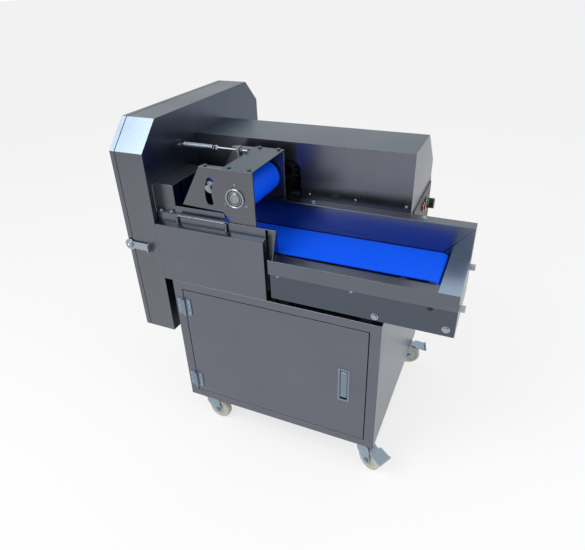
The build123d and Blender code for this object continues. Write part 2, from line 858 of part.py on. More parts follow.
def spindle_ends():
    left = knife_right - knife_thickness - knife_disc_thickness - knife_hub_length - spindle_end
    return left, pillow_left + pillow_width + spindle_end / 4


def main_spindle():
    left, right = spindle_ends()
    shaft = bar(spindle_radius, (left, spindle_y, spindle_z), (right, spindle_y, spindle_z))
    nut_left = left - spindle_end * 3 / 4
    nut = hex_head(spindle_nut, (nut_left, spindle_y, spindle_z), (left + spindle_end, spindle_y, spindle_z))
    return joined([shaft, nut])


def spindle_bearings():
    """A square flange unit on the housing wall and a pillow block on the body's floor."""
    bore = spindle_radius + running
    left = housing_right
    plate = block((left, left + 8), (spindle_y - 45, spindle_y + 45), (spindle_z - 45, spindle_z + 45))
    hub = bar(32, (left + 8, spindle_y, spindle_z), (left + 22, spindle_y, spindle_z))
    flange = joined([plate, hub]) - bar(bore, (left - 1, spindle_y, spindle_z), (left + 23, spindle_y, spindle_z))
    x0, x1 = pillow_left, pillow_left + pillow_width
    ear = bar(34, (x0, spindle_y, spindle_z), (x1, spindle_y, spindle_z))
    column = prism_x(
        [(spindle_y - 55, body_floor), (spindle_y + 55, body_floor), (spindle_y + 55, body_floor + 12),
         (spindle_y + 32, body_floor + 20), (spindle_y + 32, spindle_z), (spindle_y - 32, spindle_z),
         (spindle_y - 32, body_floor + 20), (spindle_y - 55, body_floor + 12)], x0, x1)
    pillow = joined([ear, column]) - bar(bore, (x0 - 1, spindle_y, spindle_z), (x1 + 1, spindle_y, spindle_z))
    return group([flange, pillow])


def pulley(radius, bore, left, y, z):
    """A flat-belt pulley with two rims and a hub."""
    right = left + pulley_width
    rim = 3.0
    whole = joined([
        bar(radius, (left, y, z), (right, y, z)),
        bar(radius + rim, (left, y, z), (left + rim, y, z)),
        bar(radius + rim, (right - rim, y, z), (right, y, z)),
    ])
    recess = ring(radius - 7, max(bore + 8, 18), (right - 8, y, z), (right + 1, y, z))
    return whole - recess - bar(bore, (left - 1, y, z), (right + 1, y, z))


def knife_pulley_left():
    return 12.0


def knife_drive_belt():
    left = knife_pulley_left() + 4
    right = left + pulley_width - 8
    t = 4.0
    outer = loop_x(spindle_y, spindle_z, spindle_pulley_radius + gap + t, motor_y, motor_z, motor_pulley_radius + gap + t, left, right)
    inner = loop_x(spindle_y, spindle_z, spindle_pulley_radius + gap, motor_y, motor_z, motor_pulley_radius + gap, left - 1, right + 1)
    return outer - inner


def motor_pulley():
    """Pulley with the motor's shaft end pressed into it."""
    left = knife_pulley_left()
    wheel = pulley(motor_pulley_radius, motor_shaft_radius, left, motor_y, motor_z)
    shaft = bar(motor_shaft_radius, (left - 4, motor_y, motor_z), (motor_left + motor_shaft_grip, motor_y, motor_z))
    return group([wheel, shaft])


def main_motor():
    """Finned motor with end shields, feet and a terminal box."""
    y, z = motor_y, motor_z
    left, right = motor_left, motor_left + motor_length
    full = motor_radius + motor_fin
    fins_left, fins_right = left + motor_shield + motor_nose, right - fan_cover_length
    core = bar(motor_radius, (left + motor_nose, y, z), (right - fan_cover_length / 2, y, z))
    fins = []
    for i in range(motor_fin_count):
        fin = block(
            (fins_left, fins_right),
            (-motor_fin_thickness / 2, motor_fin_thickness / 2),
            (motor_radius - motor_fin_thickness, full),
        )
        fins.append(Pos(0, y, z) * Rot(360 / motor_fin_count * i, 0, 0) * fin)
    shield = bar(full, (left + motor_nose, y, z), (fins_left, y, z))
    nose = bar(motor_radius / 2, (left, y, z), (left + motor_nose, y, z))
    fan_cover = bar(full, (fins_right, y, z), (right, y, z))
    low = z - full - motor_foot_drop
    foot_places = (fins_left + motor_nose, fins_right - motor_foot_width - motor_nose)
    feet = [
        block((x, x + motor_foot_width), (y - motor_foot_reach, y + motor_foot_reach), (low, low + motor_foot_thickness))
        for x in foot_places
    ]
    webs = [
        block((x, x + motor_foot_width), sorted((y + side * motor_radius / 2, y + side * motor_radius)), (low, z - motor_radius / 2))
        for x in foot_places for side in (-1, 1)
    ]
    box_left = left + motor_length / 2 - terminal_box_length
    box = block(
        (box_left, box_left + terminal_box_length),
        (y + motor_radius - 2 * motor_fin, y + motor_radius + terminal_box_depth),
        (z - terminal_box_height - motor_fin, z - motor_fin),
    )
    motor = joined([core, shield, nose, fan_cover, box] + feet + webs + fins)
    motor -= bar(motor_shaft_radius + running, (left - 1, y, z), (left + motor_shaft_grip + 1, y, z))
    for i in range(fan_hole_count):
        a = 2 * pi * (i + 0.5) / fan_hole_count
        hole_y, hole_z = y + 0.6 * motor_radius * cos(a), z + 0.6 * motor_radius * sin(a)
        motor -= bar(motor_radius / 8, (right - 3, hole_y, hole_z), (right + 1, hole_y, hole_z))
    return motor


def motor_cover():
    """Folded cover with a chamfered rear edge and an arched opening for the press drum's shaft."""
    rear, low, high = pedestal_rear, ledge_top, cover_high
    def outline(inset):
        slant = inset * tan(radians(22.5))
        return [
            (cover_front + inset, low), (cover_front + inset, high - inset),
            (rear - cover_chamfer_y - slant, high - inset), (rear - inset, high - cover_chamfer_z - slant),
            (rear - inset, low),
        ]
    outer = prism_x(outline(0), body_left, cover_right)
    inner = prism_x(outline(sheet), body_left + sheet, cover_right - sheet)
    shell = outer - inner - block(
        (body_left + sheet, cover_right - sheet), (cover_front + sheet, rear - sheet), (low - 1, low + 1))
    r = arch_corner
    arch = block((arch_left, arch_right), (cover_front - 1, cover_front + sheet + 1), (low - 1, arch_top - r))
    head = block((arch_left + r, arch_right - r), (cover_front - 1, cover_front + sheet + 1), (low, arch_top))
    rounds = [
        bar(r, (x, cover_front - 1, arch_top - r), (x, cover_front + sheet + 1, arch_top - r))
        for x in (arch_left + r, arch_right - r)
    ]
    shell -= joined([arch, head] + rounds)
    side_hole = block(
        (body_left - 1, body_left + sheet + 1), (motor_y - 110, motor_y + 60), (low - 1, motor_z + 52))
    return shell - side_hole


# Control panel

def panel_points():
    """Y and Z of the dial, the start button and the stop button."""
    y = panel_rear - 34
    return (y, panel_low + 105), (y - 40, panel_low + 125), (y - 80, panel_low + 125)


def control_panel():
    left = cabinet_width
    right = left + panel_thickness
    plate = block((left, right), (panel_front, panel_rear), (panel_low, panel_high))
    dial, start, stop = panel_points()
    plate -= bar(5 + running, (left - 1, *dial), (right + 1, *dial))
    for spot in (start, stop):
        plate -= bar(button_radius + gap, (left - 1, *spot), (right + 1, *spot))
    collars = [ring(button_radius + 4, button_radius + gap, (right, *spot), (right + 4, *spot)) for spot in (start, stop)]
    return joined([plate] + collars)


def speed_dial():
    right = cabinet_width + panel_thickness
    y, z = panel_points()[0]
    body = bar(dial_radius, (right + gap, y, z), (right + dial_length, y, z))
    for i in range(12):
        a = radians(30 * i)
        cy, cz = y + (dial_radius + 1.6) * cos(a), z + (dial_radius + 1.6) * sin(a)
        body -= bar(3, (right, cy, cz), (right + dial_length + 1, cy, cz))
    stem = bar(5, (cabinet_width + 0.2, y, z), (right + gap + 1, y, z))
    return joined([body, stem])


def push_button(index):
    right = cabinet_width + panel_thickness
    y, z = panel_points()[index]
    return bar(button_radius, (cabinet_width + button_travel + gap, y, z), (right + 4 + button_travel + 2, y, z))


# Conveyor

def conveyor_frame():
    """Folded trough: low lip on the open side, high back plate, end plate and a walled tunnel on the left."""
    left = body_left + sheet
    right = conveyor_right
    rear = back_plate_front + back_flange_depth
    lip_low = lip_high - lip_height
    back = block((left, right), (back_plate_front, back_plate_front + sheet), (trough_low, back_plate_top))
    flange = block((left, right), (back_plate_front, rear), (back_plate_top - sheet, back_plate_top))
    fold = block((left, right), (rear - sheet, rear), (back_plate_top - 12, back_plate_top))
    rear_edge = back_plate_front + sheet
    bottom = joined([
        block((left, lip_left), (tunnel_wall_front, rear_edge), (trough_low, trough_low + sheet)),
        block((lip_left, right), (side_plate_front, rear_edge), (trough_low, trough_low + sheet)),
    ])
    side = block((lip_left, right), (side_plate_front, side_plate_front + sheet), (trough_low, lip_high))
    lip = block((lip_left, right), (lip_front, lip_front + sheet), (lip_low, lip_high))
    lip_top = block((lip_left, right), (lip_front, belt_front - 3), (lip_high - sheet, lip_high))
    lip_foot = block((lip_left, right), (lip_front, side_plate_front + sheet), (lip_low, lip_low + sheet))
    inner_wall = (tunnel_wall_front, tunnel_wall_front + sheet)
    wall = block((left, tunnel_right), inner_wall, (trough_low, tunnel_top))
    screen = block((hood_right + gap, notch_left), inner_wall, (tunnel_top - 1, tunnel_wall_top))
    wall_flange = block((left, tunnel_right), (cover_depth + gap, inner_wall[1]), (tunnel_top - sheet, tunnel_top))
    gusset = prism_x(
        [(lip_front, lip_high - sheet), (cover_depth + gap, tunnel_top), (inner_wall[1], tunnel_top),
         (inner_wall[1], lip_high - sheet)], tunnel_right - sheet, tunnel_right)
    end = prism_x(
        [(side_plate_front, trough_low), (rear, trough_low), (rear, back_plate_top), (back_plate_front, back_plate_top),
         (back_plate_front, lip_high), (lip_front, lip_high), (lip_front, lip_low), (side_plate_front, lip_low)],
        right - sheet, right)
    end_table_left = tail_roller_x + tail_roller_radius + belt_thickness + 1
    table = block((end_table_left, right), (lip_front, back_plate_front + sheet), (lip_high, lip_high + sheet))
    feet = [block((320, 350), (20, 160), (deck, trough_low + 1)), block((540, 570), (20, 160), (deck, trough_low + 1))]
    inner_foot = block((60, 90), (20, 160), (body_floor, trough_low + 1))
    frame = joined([back, flange, fold, bottom, side, lip, lip_top, lip_foot, wall, screen, wall_flange, gusset, end, table])
    frame = joined([frame, inner_foot] + feet)
    for x, z in ((drive_roller_x, roller_z), (tail_roller_x, tail_z)):
        frame -= bar(feed_shaft_radius + 3, (x, tunnel_wall_front - 1, z), (x, back_plate_front + sheet + 1, z))
    for y, z in tension_screw_places():
        frame -= bar(tension_stem_radius + running, (right - sheet - 1, y, z), (right + 1, y, z))
    return frame


def tension_screw_places():
    """Y and Z of the front and the rear tension screw, inside the side plate and behind the back plate."""
    return (side_plate_front + sheet + 8, front_screw_z), (back_plate_front + sheet + 8, rear_screw_z)


def belt_bed():
    """Slider plate under the upper run, with side folds and two cross bars to the trough's walls."""
    left = drive_roller_x + feed_roller_radius + 8
    right = tail_roller_x - tail_roller_radius - 8
    high = belt_top - belt_thickness - gap
    front, rear = belt_front + 2, belt_rear - 2
    plate = block((left, right), (front, rear), (high - sheet, high))
    folds = [
        block((left, right), (y, y + sheet), (high - bed_fold, high)) for y in (front, rear - sheet)
    ]
    cross_high = lip_high - sheet - 1
    cross = [
        block((x, x + bed_bar_width), (y0, back_plate_front), (cross_high - bed_bar_height, cross_high))
        for x, y0 in ((left + bed_bar_inset, tunnel_wall_front + sheet), (right - 2 * bed_bar_inset, side_plate_front + sheet))
    ]
    return joined([plate] + folds + cross)


def feed_belt():
    front, rear = belt_front, belt_rear
    outer = loop_y(drive_roller_x, roller_z, feed_roller_radius + belt_thickness, tail_roller_x, tail_z,
                   tail_roller_radius + belt_thickness, front, rear)
    inner = loop_y(drive_roller_x, roller_z, feed_roller_radius + gap / 2, tail_roller_x, tail_z,
                   tail_roller_radius + gap / 2, front - 1, rear + 1)
    return outer - inner


def feed_roller(radius, x, z, front, rear):
    drum = bar(radius, (x, belt_front - 0.8, z), (x, belt_rear + 0.8, z))
    shaft = bar(feed_shaft_radius, (x, front, z), (x, rear, z))
    return joined([drum, shaft])


def feed_drive_roller():
    """Driven roller with its toothed pulley on the long end of its shaft."""
    rear = timing_front + timing_belt_width + 5
    roller = feed_roller(feed_roller_radius, drive_roller_x, roller_z, tunnel_wall_front - 8, rear)
    return group([roller, toothed_pulley(drive_roller_x, roller_z, feed_shaft_radius)])


def feed_tail_roller():
    front, rear = [y for y, z in tension_screw_places()]
    return feed_roller(tail_roller_radius, tail_roller_x, tail_z, front - 5, rear + 5)


def feed_bearings():
    """Two flange bearings at the drive roller and two sliding blocks at the tail roller."""
    x = drive_roller_x
    bore = feed_shaft_radius + running
    walls = ((tunnel_wall_front - 7, tunnel_wall_front), (back_plate_front + sheet, back_plate_front + sheet + 9))
    pieces = [ring(20, bore, (x, a, roller_z), (x, b, roller_z)) for a, b in walls]
    x = tail_roller_x
    for y, z in tension_screw_places():
        carrier = block((x - 16, x + 20), (y - 8, y + 8), (z - 8, tail_z + feed_shaft_radius + 3))
        pieces.append(carrier - bar(bore, (x, y - 9, tail_z), (x, y + 9, tail_z)))
    return group(pieces)


def tension_screw(y, z):
    """A screw with a knurled head outside the end plate, bearing on the tail block."""
    right = conveyor_right
    stem = bar(tension_stem_radius, (tail_roller_x + 20 + gap, y, z), (right + gap, y, z))
    head = bar(knob_radius, (right + gap, y, z), (right + knob_length, y, z))
    flutes = 10
    for i in range(flutes):
        a = 2 * pi * i / flutes
        cy, cz = y + (knob_radius + 0.6) * cos(a), z + (knob_radius + 0.6) * sin(a)
        head -= bar(1.6, (right, cy, cz), (right + knob_length + 1, cy, cz))
    return joined([stem, head])


# Feed mouth and hood

def mouth_inner_y():
    return tunnel_wall_front + sheet, back_plate_front


def mouth_outer_y():
    front, rear = mouth_inner_y()
    return front - mouth_wall, rear + mouth_wall


def mouth_outer_z():
    return belt_top - mouth_wall, mouth_top + mouth_wall


def feed_mouth():
    """Rectangular cutting throat through the housing wall, with an inner flange and a transfer plate."""
    outer = block((mouth_left, housing_right), mouth_outer_y(), mouth_outer_z())
    flange_y = [y + side * 12 for y, side in zip(mouth_outer_y(), (-1, 1))]
    flange_z = [z + side * 12 for z, side in zip(mouth_outer_z(), (-1, 1))]
    flange = block((housing_wall - 4, housing_wall), flange_y, flange_z)
    inner = block((mouth_left - 1, housing_right + 1), mouth_inner_y(), (belt_top - 0.5, mouth_top))
    front, rear = mouth_inner_y()
    table = block((housing_right - 2, drive_roller_x - 20), (front + gap, rear - gap), (belt_top - 3.5, belt_top - 0.5))
    return joined([outer, flange, table]) - inner


def throat_hood():
    """Sheet hood between the housing wall and the press unit, open to the right and below."""
    left = housing_right
    outer = block((left, hood_right), (hood_front, hood_rear), (back_plate_top, hood_top))
    inner = block((left - 1, hood_right + 1), (hood_front + sheet, hood_rear - sheet), (back_plate_top - 1, hood_top - sheet))
    front_skirt = block((left, hood_right), (hood_front, hood_front + sheet), (tunnel_top, back_plate_top + 1))
    flange = block((left, left + sheet), (hood_front - 16, hood_front + sheet), (tunnel_top, hood_top))
    foot = block((left + sheet, hood_right), (cover_depth + 2, hood_front + sheet), (tunnel_top, tunnel_top + sheet))
    return joined([outer - inner, front_skirt, flange, foot])


# Press unit

def slot_cut(front, rear):
    """Curved slot that the front roller's shaft rides in."""
    half = press_shaft_radius + slot_clearance
    low = arm_rise_angle - arm_down_angle - slot_spare_angle
    high = arm_rise_angle + arm_up_angle + slot_spare_angle
    band = ring(arm_length + half, arm_length - half, (drum_x, front, drum_z), (drum_x, rear, drum_z))
    reach = arm_length + 40
    wedge = [(drum_x, drum_z)]
    ends = []
    for angle in (low, high):
        a = radians(angle)
        wedge.append((drum_x - reach * cos(a), drum_z + reach * sin(a)))
        x, z = drum_x - arm_length * cos(a), drum_z + arm_length * sin(a)
        ends.append(bar(half, (x, front, z), (x, rear, z)))
    return joined([band & prism_y(wedge, front, rear)] + ends)


def press_side_plate(front, foot_z):
    rear = front + press_plate_thickness
    outline = [
        (press_left_low, press_left_low_z), (press_left_top, press_top), (press_right, press_top),
        (press_right, foot_z), (notch_right, foot_z), (notch_right, foot_z + 10),
        (notch_left, notch_top),
    ]
    plate = prism_y(outline, front, rear)
    plate -= slot_cut(front - 1, rear + 1)
    plate -= bar(bearing_radius - 6, (drum_x, front - 1, drum_z), (drum_x, rear + 1, drum_z))
    return plate


def press_side_plates():
    """Front plate on the tunnel's flange and rear plate on the back flange, each with a folded top flange."""
    flange = 12.0
    rear = press_rear_plate_front
    plates = []
    for y, foot, flange_front in ((press_plate_front, tunnel_top, press_plate_front), (rear, back_plate_top, rear - flange)):
        fold = block(
            (press_left_top, press_right),
            (flange_front, flange_front + press_plate_thickness + flange),
            (press_top - 3, press_top),
        )
        plates.append(joined([press_side_plate(y, foot), fold]))
    return group(plates)


def press_top_plate():
    """Sheet lid screwed down on both flanges; its left part is cut away over the belt."""
    front = press_plate_front
    rear = press_rear_plate_front + press_plate_thickness
    lid = block((lid_left, press_right + 1), (front, rear), (press_top, press_top + sheet))
    screws = []
    for x in (lug_x + 36, press_right - 12):
        for y in (front + 9, rear - 9):
            screws.append(hex_head(9, (x, y, press_top + sheet), (x, y, press_top + sheet + 4)))
    x = press_left_top + 14
    screws.append(hex_head(9, (x, front + 9, press_top), (x, front + 9, press_top + 4)))
    return group([lid] + screws)


def press_bearings():
    """Flanged bearing housings of the press drum, outside both plates, each with three screws."""
    pieces = []
    bore = press_shaft_radius + running
    for plate_y, side in ((press_plate_front, -1), (press_rear_plate_front + press_plate_thickness, 1)):
        a = plate_y
        near, far = sorted((a, a + side * 5))
        collar = ring(bearing_radius, bearing_radius - 4, (drum_x, near, drum_z), (drum_x, far, drum_z))
        inner_end = a - side * press_plate_thickness
        low, high = sorted((inner_end, a + side * 3))
        race = ring(bearing_radius - 6 - running, bore, (drum_x, low, drum_z), (drum_x, high, drum_z))
        near2, far2 = sorted((a, a + side * 2))
        web = ring(bearing_radius, bearing_radius - 8, (drum_x, near2, drum_z), (drum_x, far2, drum_z))
        pieces.append(joined([collar, web, race]))
        for angle in (88, 214, 330):
            t = radians(angle)
            x, z = drum_x + bearing_screw_circle * cos(t), drum_z + bearing_screw_circle * sin(t)
            near3, far3 = sorted((a, a + side * 3))
            pieces.append(bar(3.5, (x, near3, z), (x, far3, z)))
    return group(pieces)


def arm_places():
    front = press_plate_front + press_plate_thickness + 1
    rear = press_rear_plate_front - 1 - arm_thickness
    return front, rear


def press_belt_limits():
    front, rear = arm_places()
    return front + arm_thickness + 2, rear - 2


def press_arm():
    """Two arms on the drum's shaft, joined by a tie bar with a lug, and the spring's threaded rod with nuts."""
    front, rear = arm_places()
    tie_low = spring_z - 32
    arms = []
    for y in (front, rear):
        arm = loop_y(drum_x, drum_z, 17, roller_x_at_rest, roller_z_at_rest, 15, y, y + arm_thickness)
        horn = prism_y(
            [(lug_x - 14, roller_z_at_rest), (lug_x + 16, drum_z + 10), (lug_x + 6, tie_low + 6), (lug_x - 6, tie_low + 6)],
            y, y + arm_thickness)
        arm = joined([arm, horn])
        arm -= bar(press_shaft_radius + running, (drum_x, y - 1, drum_z), (drum_x, y + arm_thickness + 1, drum_z))
        arm -= bar(press_shaft_radius + running, (roller_x_at_rest, y - 1, roller_z_at_rest),
                   (roller_x_at_rest, y + arm_thickness + 1, roller_z_at_rest))
        arms.append(arm)
    tie = block((lug_x - 5, lug_x + 5), (front, rear + arm_thickness), (tie_low, tie_low + 8))
    lug = block((lug_x - 3, lug_x + 3), (lug_y - 8, lug_y + 8), (tie_low, spring_z + 9))
    frame = joined(arms + [tie, lug]) - bar(3, (lug_x - 4, lug_y, spring_z), (lug_x + 4, lug_y, spring_z))
    rod_left = spring_right + 12
    rod_right = lug_x + 24
    rod = bar(3, (rod_left, lug_y, spring_z), (rod_right, lug_y, spring_z))
    nuts = [
        hex_head(10, (x, lug_y, spring_z), (x + 5, lug_y, spring_z)) - bar(3, (x - 1, lug_y, spring_z), (x + 6, lug_y, spring_z))
        for x in (lug_x - 8, lug_x + 3)
    ]
    return group([frame, rod] + nuts)


def press_drive_roller():
    front, rear = press_belt_limits()
    drum = bar(drum_radius, (drum_x, front - 0.8, drum_z), (drum_x, rear + 0.8, drum_z))
    shaft = bar(press_shaft_radius, (drum_x, press_plate_front - 3, drum_z), (drum_x, gear_front + gear_width + 6, drum_z))
    return joined([drum, shaft])


def press_front_roller():
    front, rear = press_belt_limits()
    x, z = roller_x_at_rest, roller_z_at_rest
    drum = bar(front_roller_radius, (x, front - 0.8, z), (x, rear + 0.8, z))
    shaft = bar(press_shaft_radius, (x, press_plate_front - 2, z), (x, press_rear_plate_front + press_plate_thickness + 2, z))
    return joined([drum, shaft])


def press_belt():
    front, rear = press_belt_limits()
    x, z = roller_x_at_rest, roller_z_at_rest
    t = press_belt_thickness
    outer = loop_y(drum_x, drum_z, drum_radius + gap / 2 + t, x, z, front_roller_radius + gap / 2 + t, front, rear)
    inner = loop_y(drum_x, drum_z, drum_radius + gap / 2, x, z, front_roller_radius + gap / 2, front - 1, rear + 1)
    return outer - inner


def tension_spring():
    """Close-wound extension spring, as its outer shape, with an end loop to the housing's eye and one to the rod."""
    left = housing_right + 20
    body = ring(spring_radius, spring_radius - spring_wire, (left, lug_y, spring_z), (spring_right, lug_y, spring_z))
    plug_left = bar(spring_wire, (housing_right + 6.0, lug_y, spring_z), (left + 3, lug_y, spring_z))
    cap_left = bar(spring_radius - 0.8, (left, lug_y, spring_z), (left + 2, lug_y, spring_z))
    cap_right = bar(spring_radius - 0.8, (spring_right - 2, lug_y, spring_z), (spring_right, lug_y, spring_z))
    plug_right = bar(spring_wire, (spring_right - 3, lug_y, spring_z), (spring_right + 11.5, lug_y, spring_z))
    cross = bar(2.8, (housing_right + 6, lug_y - 5, spring_z), (housing_right + 6, lug_y + 5, spring_z))
    return joined([body, cap_left, cap_right, plug_left, plug_right, cross])


# Feed drive

def gear(teeth, x, z, front, rear, phase):
    """Spur gear with involute flanks, axis along Y."""
    pitch = teeth * gear_module / 2
    root = pitch - 1.2 * gear_module
    tip = pitch + 0.9 * gear_module
    base = pitch * cos(radians(20))
    def flank(radius):
        if radius <= base:
            return 0.0
        t = sqrt((radius / base) ** 2 - 1)
        return t - atan2(t, 1)
    half_tooth = pi / (2 * teeth) - gear_backlash / pitch
    radii = [root, base, (base + tip) / 2, tip]
    offsets = [half_tooth + flank(pitch) - flank(r) for r in radii]
    outline = []
    for i in range(teeth):
        middle = phase + 2 * pi * i / teeth
        for r, a in zip(radii, offsets):
            outline.append((x + r * cos(middle - a), z + r * sin(middle - a)))
        for r, a in reversed(list(zip(radii, offsets))):
            outline.append((x + r * cos(middle + a), z + r * sin(middle + a)))
    return prism_y(outline, front, rear)


def press_gear():
    front = gear_front
    rear = front + gear_width
    line = atan2(output_z - drum_z, output_x - drum_x)
    wheel = gear(press_teeth, drum_x, drum_z, front, rear, line)
    wheel -= bar(press_shaft_radius, (drum_x, front - 1, drum_z), (drum_x, rear + 1, drum_z))
    for i in range(6):
        a = 2 * pi * i / 6
        cx, cz = drum_x + 38 * cos(a), drum_z + 38 * sin(a)
        wheel -= bar(13, (cx, front - 1, cz), (cx, rear + 1, cz))
    return wheel


def feed_output_gear():
    """Output shaft of the feed gearmotor with its gear and toothed pulley, keyed as one."""
    front = gear_front
    rear = front + gear_width
    line = atan2(drum_z - output_z, drum_x - output_x)
    wheel = gear(output_teeth, output_x, output_z, front, rear, line + pi / output_teeth)
    wheel -= bar(8, (output_x, front - 1, output_z), (output_x, rear + 1, output_z))
    shaft = bar(8, (output_x, timing_front - 3, output_z), (output_x, rear + 16, output_z))
    return group([wheel, shaft, toothed_pulley(output_x, output_z, 8)])


def toothed_pulley(x, z, bore):
    teeth = 18
    front = timing_front
    rear = timing_front + timing_belt_width + 2
    body = bar(timing_pulley_radius, (x, front, z), (x, rear, z))
    for i in range(teeth):
        a = 2 * pi * i / teeth
        cx, cz = x + timing_pulley_radius * cos(a), z + timing_pulley_radius * sin(a)
        body -= bar(1.8, (cx, front - 1, cz), (cx, rear + 1, cz))
    return body - bar(bore, (x, front - 1, z), (x, rear + 1, z))


def feed_timing_belt():
    front = timing_front + 1
    rear = front + timing_belt_width
    r = timing_pulley_radius + gap
    outer = loop_y(drive_roller_x, roller_z, r + timing_belt_thickness, output_x, output_z, r + timing_belt_thickness, front, rear)
    inner = loop_y(drive_roller_x, roller_z, r, output_x, output_z, r, front - 1, rear + 1)
    return outer - inner


def feed_gearmotor():
    """Small gearmotor with a face plate on the body's floor."""
    x, z = output_x, output_z
    front = gear_front + gear_width + 8
    half = 40.0
    plate = block((x - half, x + half), (front, front + 6), (body_floor, z + gearmotor_radius))
    foot = block((x - half, x + half), (front, front + 60), (body_floor, body_floor + 6))
    box = block((x - 32, x + 32), (front + 6, front + 50), (z - 32, z + 32))
    can = bar(gearmotor_radius - 4, (x, front + 50, z), (x, front + gearmotor_length, z))
    motor = joined([plate, foot, box, can])
    return motor - bar(8 + running, (x, front - 1, z), (x, front + 12, z))


def make_parts():
    parts = {}
    bezel, paddle = door_lock()
    fixed_leaves, door_leaves = cabinet_hinges()
    housing_leaves, housing_movers = housing_hinges()
    parts["cabinet_shell"] = cabinet_shell()
    parts["cabinet_door"] = cabinet_door()
    parts["cabinet_hinge_leaves"] = door_leaves
    parts["fixed_hinge_leaves"] = group(fixed_leaves + housing_leaves)
    parts["lock_bezel"] = bezel
    parts["lock_paddle"] = paddle
    parts["electric_units"] = electric_units()
    plates = []
    for name, place in caster_places().items():
        plates += caster_plate(place[0], place[1])
        parts["caster_fork_" + name] = group([placed_caster(piece, place) for piece in caster_fork()])
        parts["caster_wheel_" + name] = placed_caster(caster_wheel(), place)
    parts["caster_plates"] = group(plates)
    for name in ("front_right", "rear_right"):
        parts["brake_pedal_" + name] = placed_caster(brake_pedal(), caster_places()[name])
    parts["body_frame"] = body_frame()
    parts["ledge_cover"] = ledge_cover()
    parts["cutter_housing"] = cutter_housing()
    parts["feed_mouth"] = feed_mouth()
    parts["housing_door"] = group([housing_door(), latch_stud()])
    parts["housing_seal"] = housing_seal()
    parts["housing_hinge_leaves"] = housing_movers
    parts["latch_lever"] = latch_lever()
    parts["knife_hub"] = knife_hub()
    parts["knife_blades"] = knife_blades()
    parts["main_spindle"] = main_spindle()
    parts["spindle_bearings"] = spindle_bearings()
    parts["spindle_pulley"] = pulley(spindle_pulley_radius, spindle_radius, knife_pulley_left(), spindle_y, spindle_z)
    parts["motor_pulley"] = motor_pulley()
    parts["knife_drive_belt"] = knife_drive_belt()
    parts["main_motor"] = main_motor()
    parts["motor_cover"] = motor_cover()
    parts["control_panel"] = control_panel()
    parts["speed_dial"] = speed_dial()
    parts["start_button"] = push_button(1)
    parts["stop_button"] = push_button(2)
    parts["conveyor_frame"] = conveyor_frame()
    parts["belt_bed"] = belt_bed()
    parts["feed_belt"] = feed_belt()
    parts["feed_drive_roller"] = feed_drive_roller()
    parts["feed_tail_roller"] = feed_tail_roller()
    parts["feed_bearings"] = feed_bearings()
    for name, (y, z) in zip(("front", "rear"), tension_screw_places()):
        parts["tension_screw_" + name] = tension_screw(y, z)
    parts["throat_hood"] = throat_hood()
    parts["press_side_plates"] = press_side_plates()
    parts["press_top_plate"] = press_top_plate()
    parts["press_bearings"] = press_bearings()
    parts["press_arm"] = press_arm()
    parts["press_drive_roller"] = press_drive_roller()
    parts["press_front_roller"] = press_front_roller()
    parts["press_belt"] = press_belt()
    parts["tension_spring"] = tension_spring()
    parts["press_gear"] = press_gear()
    parts["feed_output_gear"] = feed_output_gear()
    parts["feed_timing_belt"] = feed_timing_belt()
    parts["feed_gearmotor"] = feed_gearmotor()
    return parts


parts = make_parts()
whole = Compound([solid for shape in parts.values() for solid in shape.solids()]).bounding_box()
shift = (-(whole.min.X + whole.max.X) / 2, -(whole.min.Y + whole.max.Y) / 2, -whole.min.Z)
os.makedirs("parts", exist_ok=True)
for name, shape in parts.items():
    export_step(Pos(*shift) * shape, "parts/" + name + ".step")
print(len(parts), "nodes; size", whole.size, "shift", shift)
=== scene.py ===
import json
from math import acos, atan2, cos, hypot, pi, radians, sin

import bpy
from mathutils import Matrix, Vector

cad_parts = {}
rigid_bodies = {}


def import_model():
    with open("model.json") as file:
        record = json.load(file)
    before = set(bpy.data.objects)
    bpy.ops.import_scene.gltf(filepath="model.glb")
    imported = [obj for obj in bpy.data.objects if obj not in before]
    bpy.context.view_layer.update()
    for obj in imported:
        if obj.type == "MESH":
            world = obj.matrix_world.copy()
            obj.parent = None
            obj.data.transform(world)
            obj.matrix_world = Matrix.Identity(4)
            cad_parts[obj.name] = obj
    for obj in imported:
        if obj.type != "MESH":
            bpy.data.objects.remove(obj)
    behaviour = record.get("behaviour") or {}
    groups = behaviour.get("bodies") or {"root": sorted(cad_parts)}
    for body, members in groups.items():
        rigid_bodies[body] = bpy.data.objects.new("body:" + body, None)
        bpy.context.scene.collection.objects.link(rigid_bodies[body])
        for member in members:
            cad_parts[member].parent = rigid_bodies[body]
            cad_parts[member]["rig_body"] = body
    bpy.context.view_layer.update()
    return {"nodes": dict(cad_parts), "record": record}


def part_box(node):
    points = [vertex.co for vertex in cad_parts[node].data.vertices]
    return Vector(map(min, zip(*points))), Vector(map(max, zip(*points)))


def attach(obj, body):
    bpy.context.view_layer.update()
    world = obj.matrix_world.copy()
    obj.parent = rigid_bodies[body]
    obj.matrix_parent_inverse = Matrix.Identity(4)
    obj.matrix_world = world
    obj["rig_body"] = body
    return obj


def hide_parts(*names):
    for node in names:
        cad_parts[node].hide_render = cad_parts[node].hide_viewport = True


# Looks of the vegetable slicing machine. Sizes are in millimetres in the machine's own
# frame: X to the right and Y to the rear from the cabinet's front left edge, Z from the floor.

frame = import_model()
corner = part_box("cabinet_shell")[0]
left_edge, front_edge = corner.x, corner.y


def at(x, y, z):
    """A place in the machine's frame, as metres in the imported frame."""
    return Vector((x / 1000 + left_edge, y / 1000 + front_edge, z / 1000))


def own(node):
    """Low and high corners of a CAD node in the machine's frame."""
    low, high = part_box(node)
    return [
        Vector(((v.x - left_edge) * 1000, (v.y - front_edge) * 1000, v.z * 1000))
        for v in (low, high)
    ]


# Shader sums

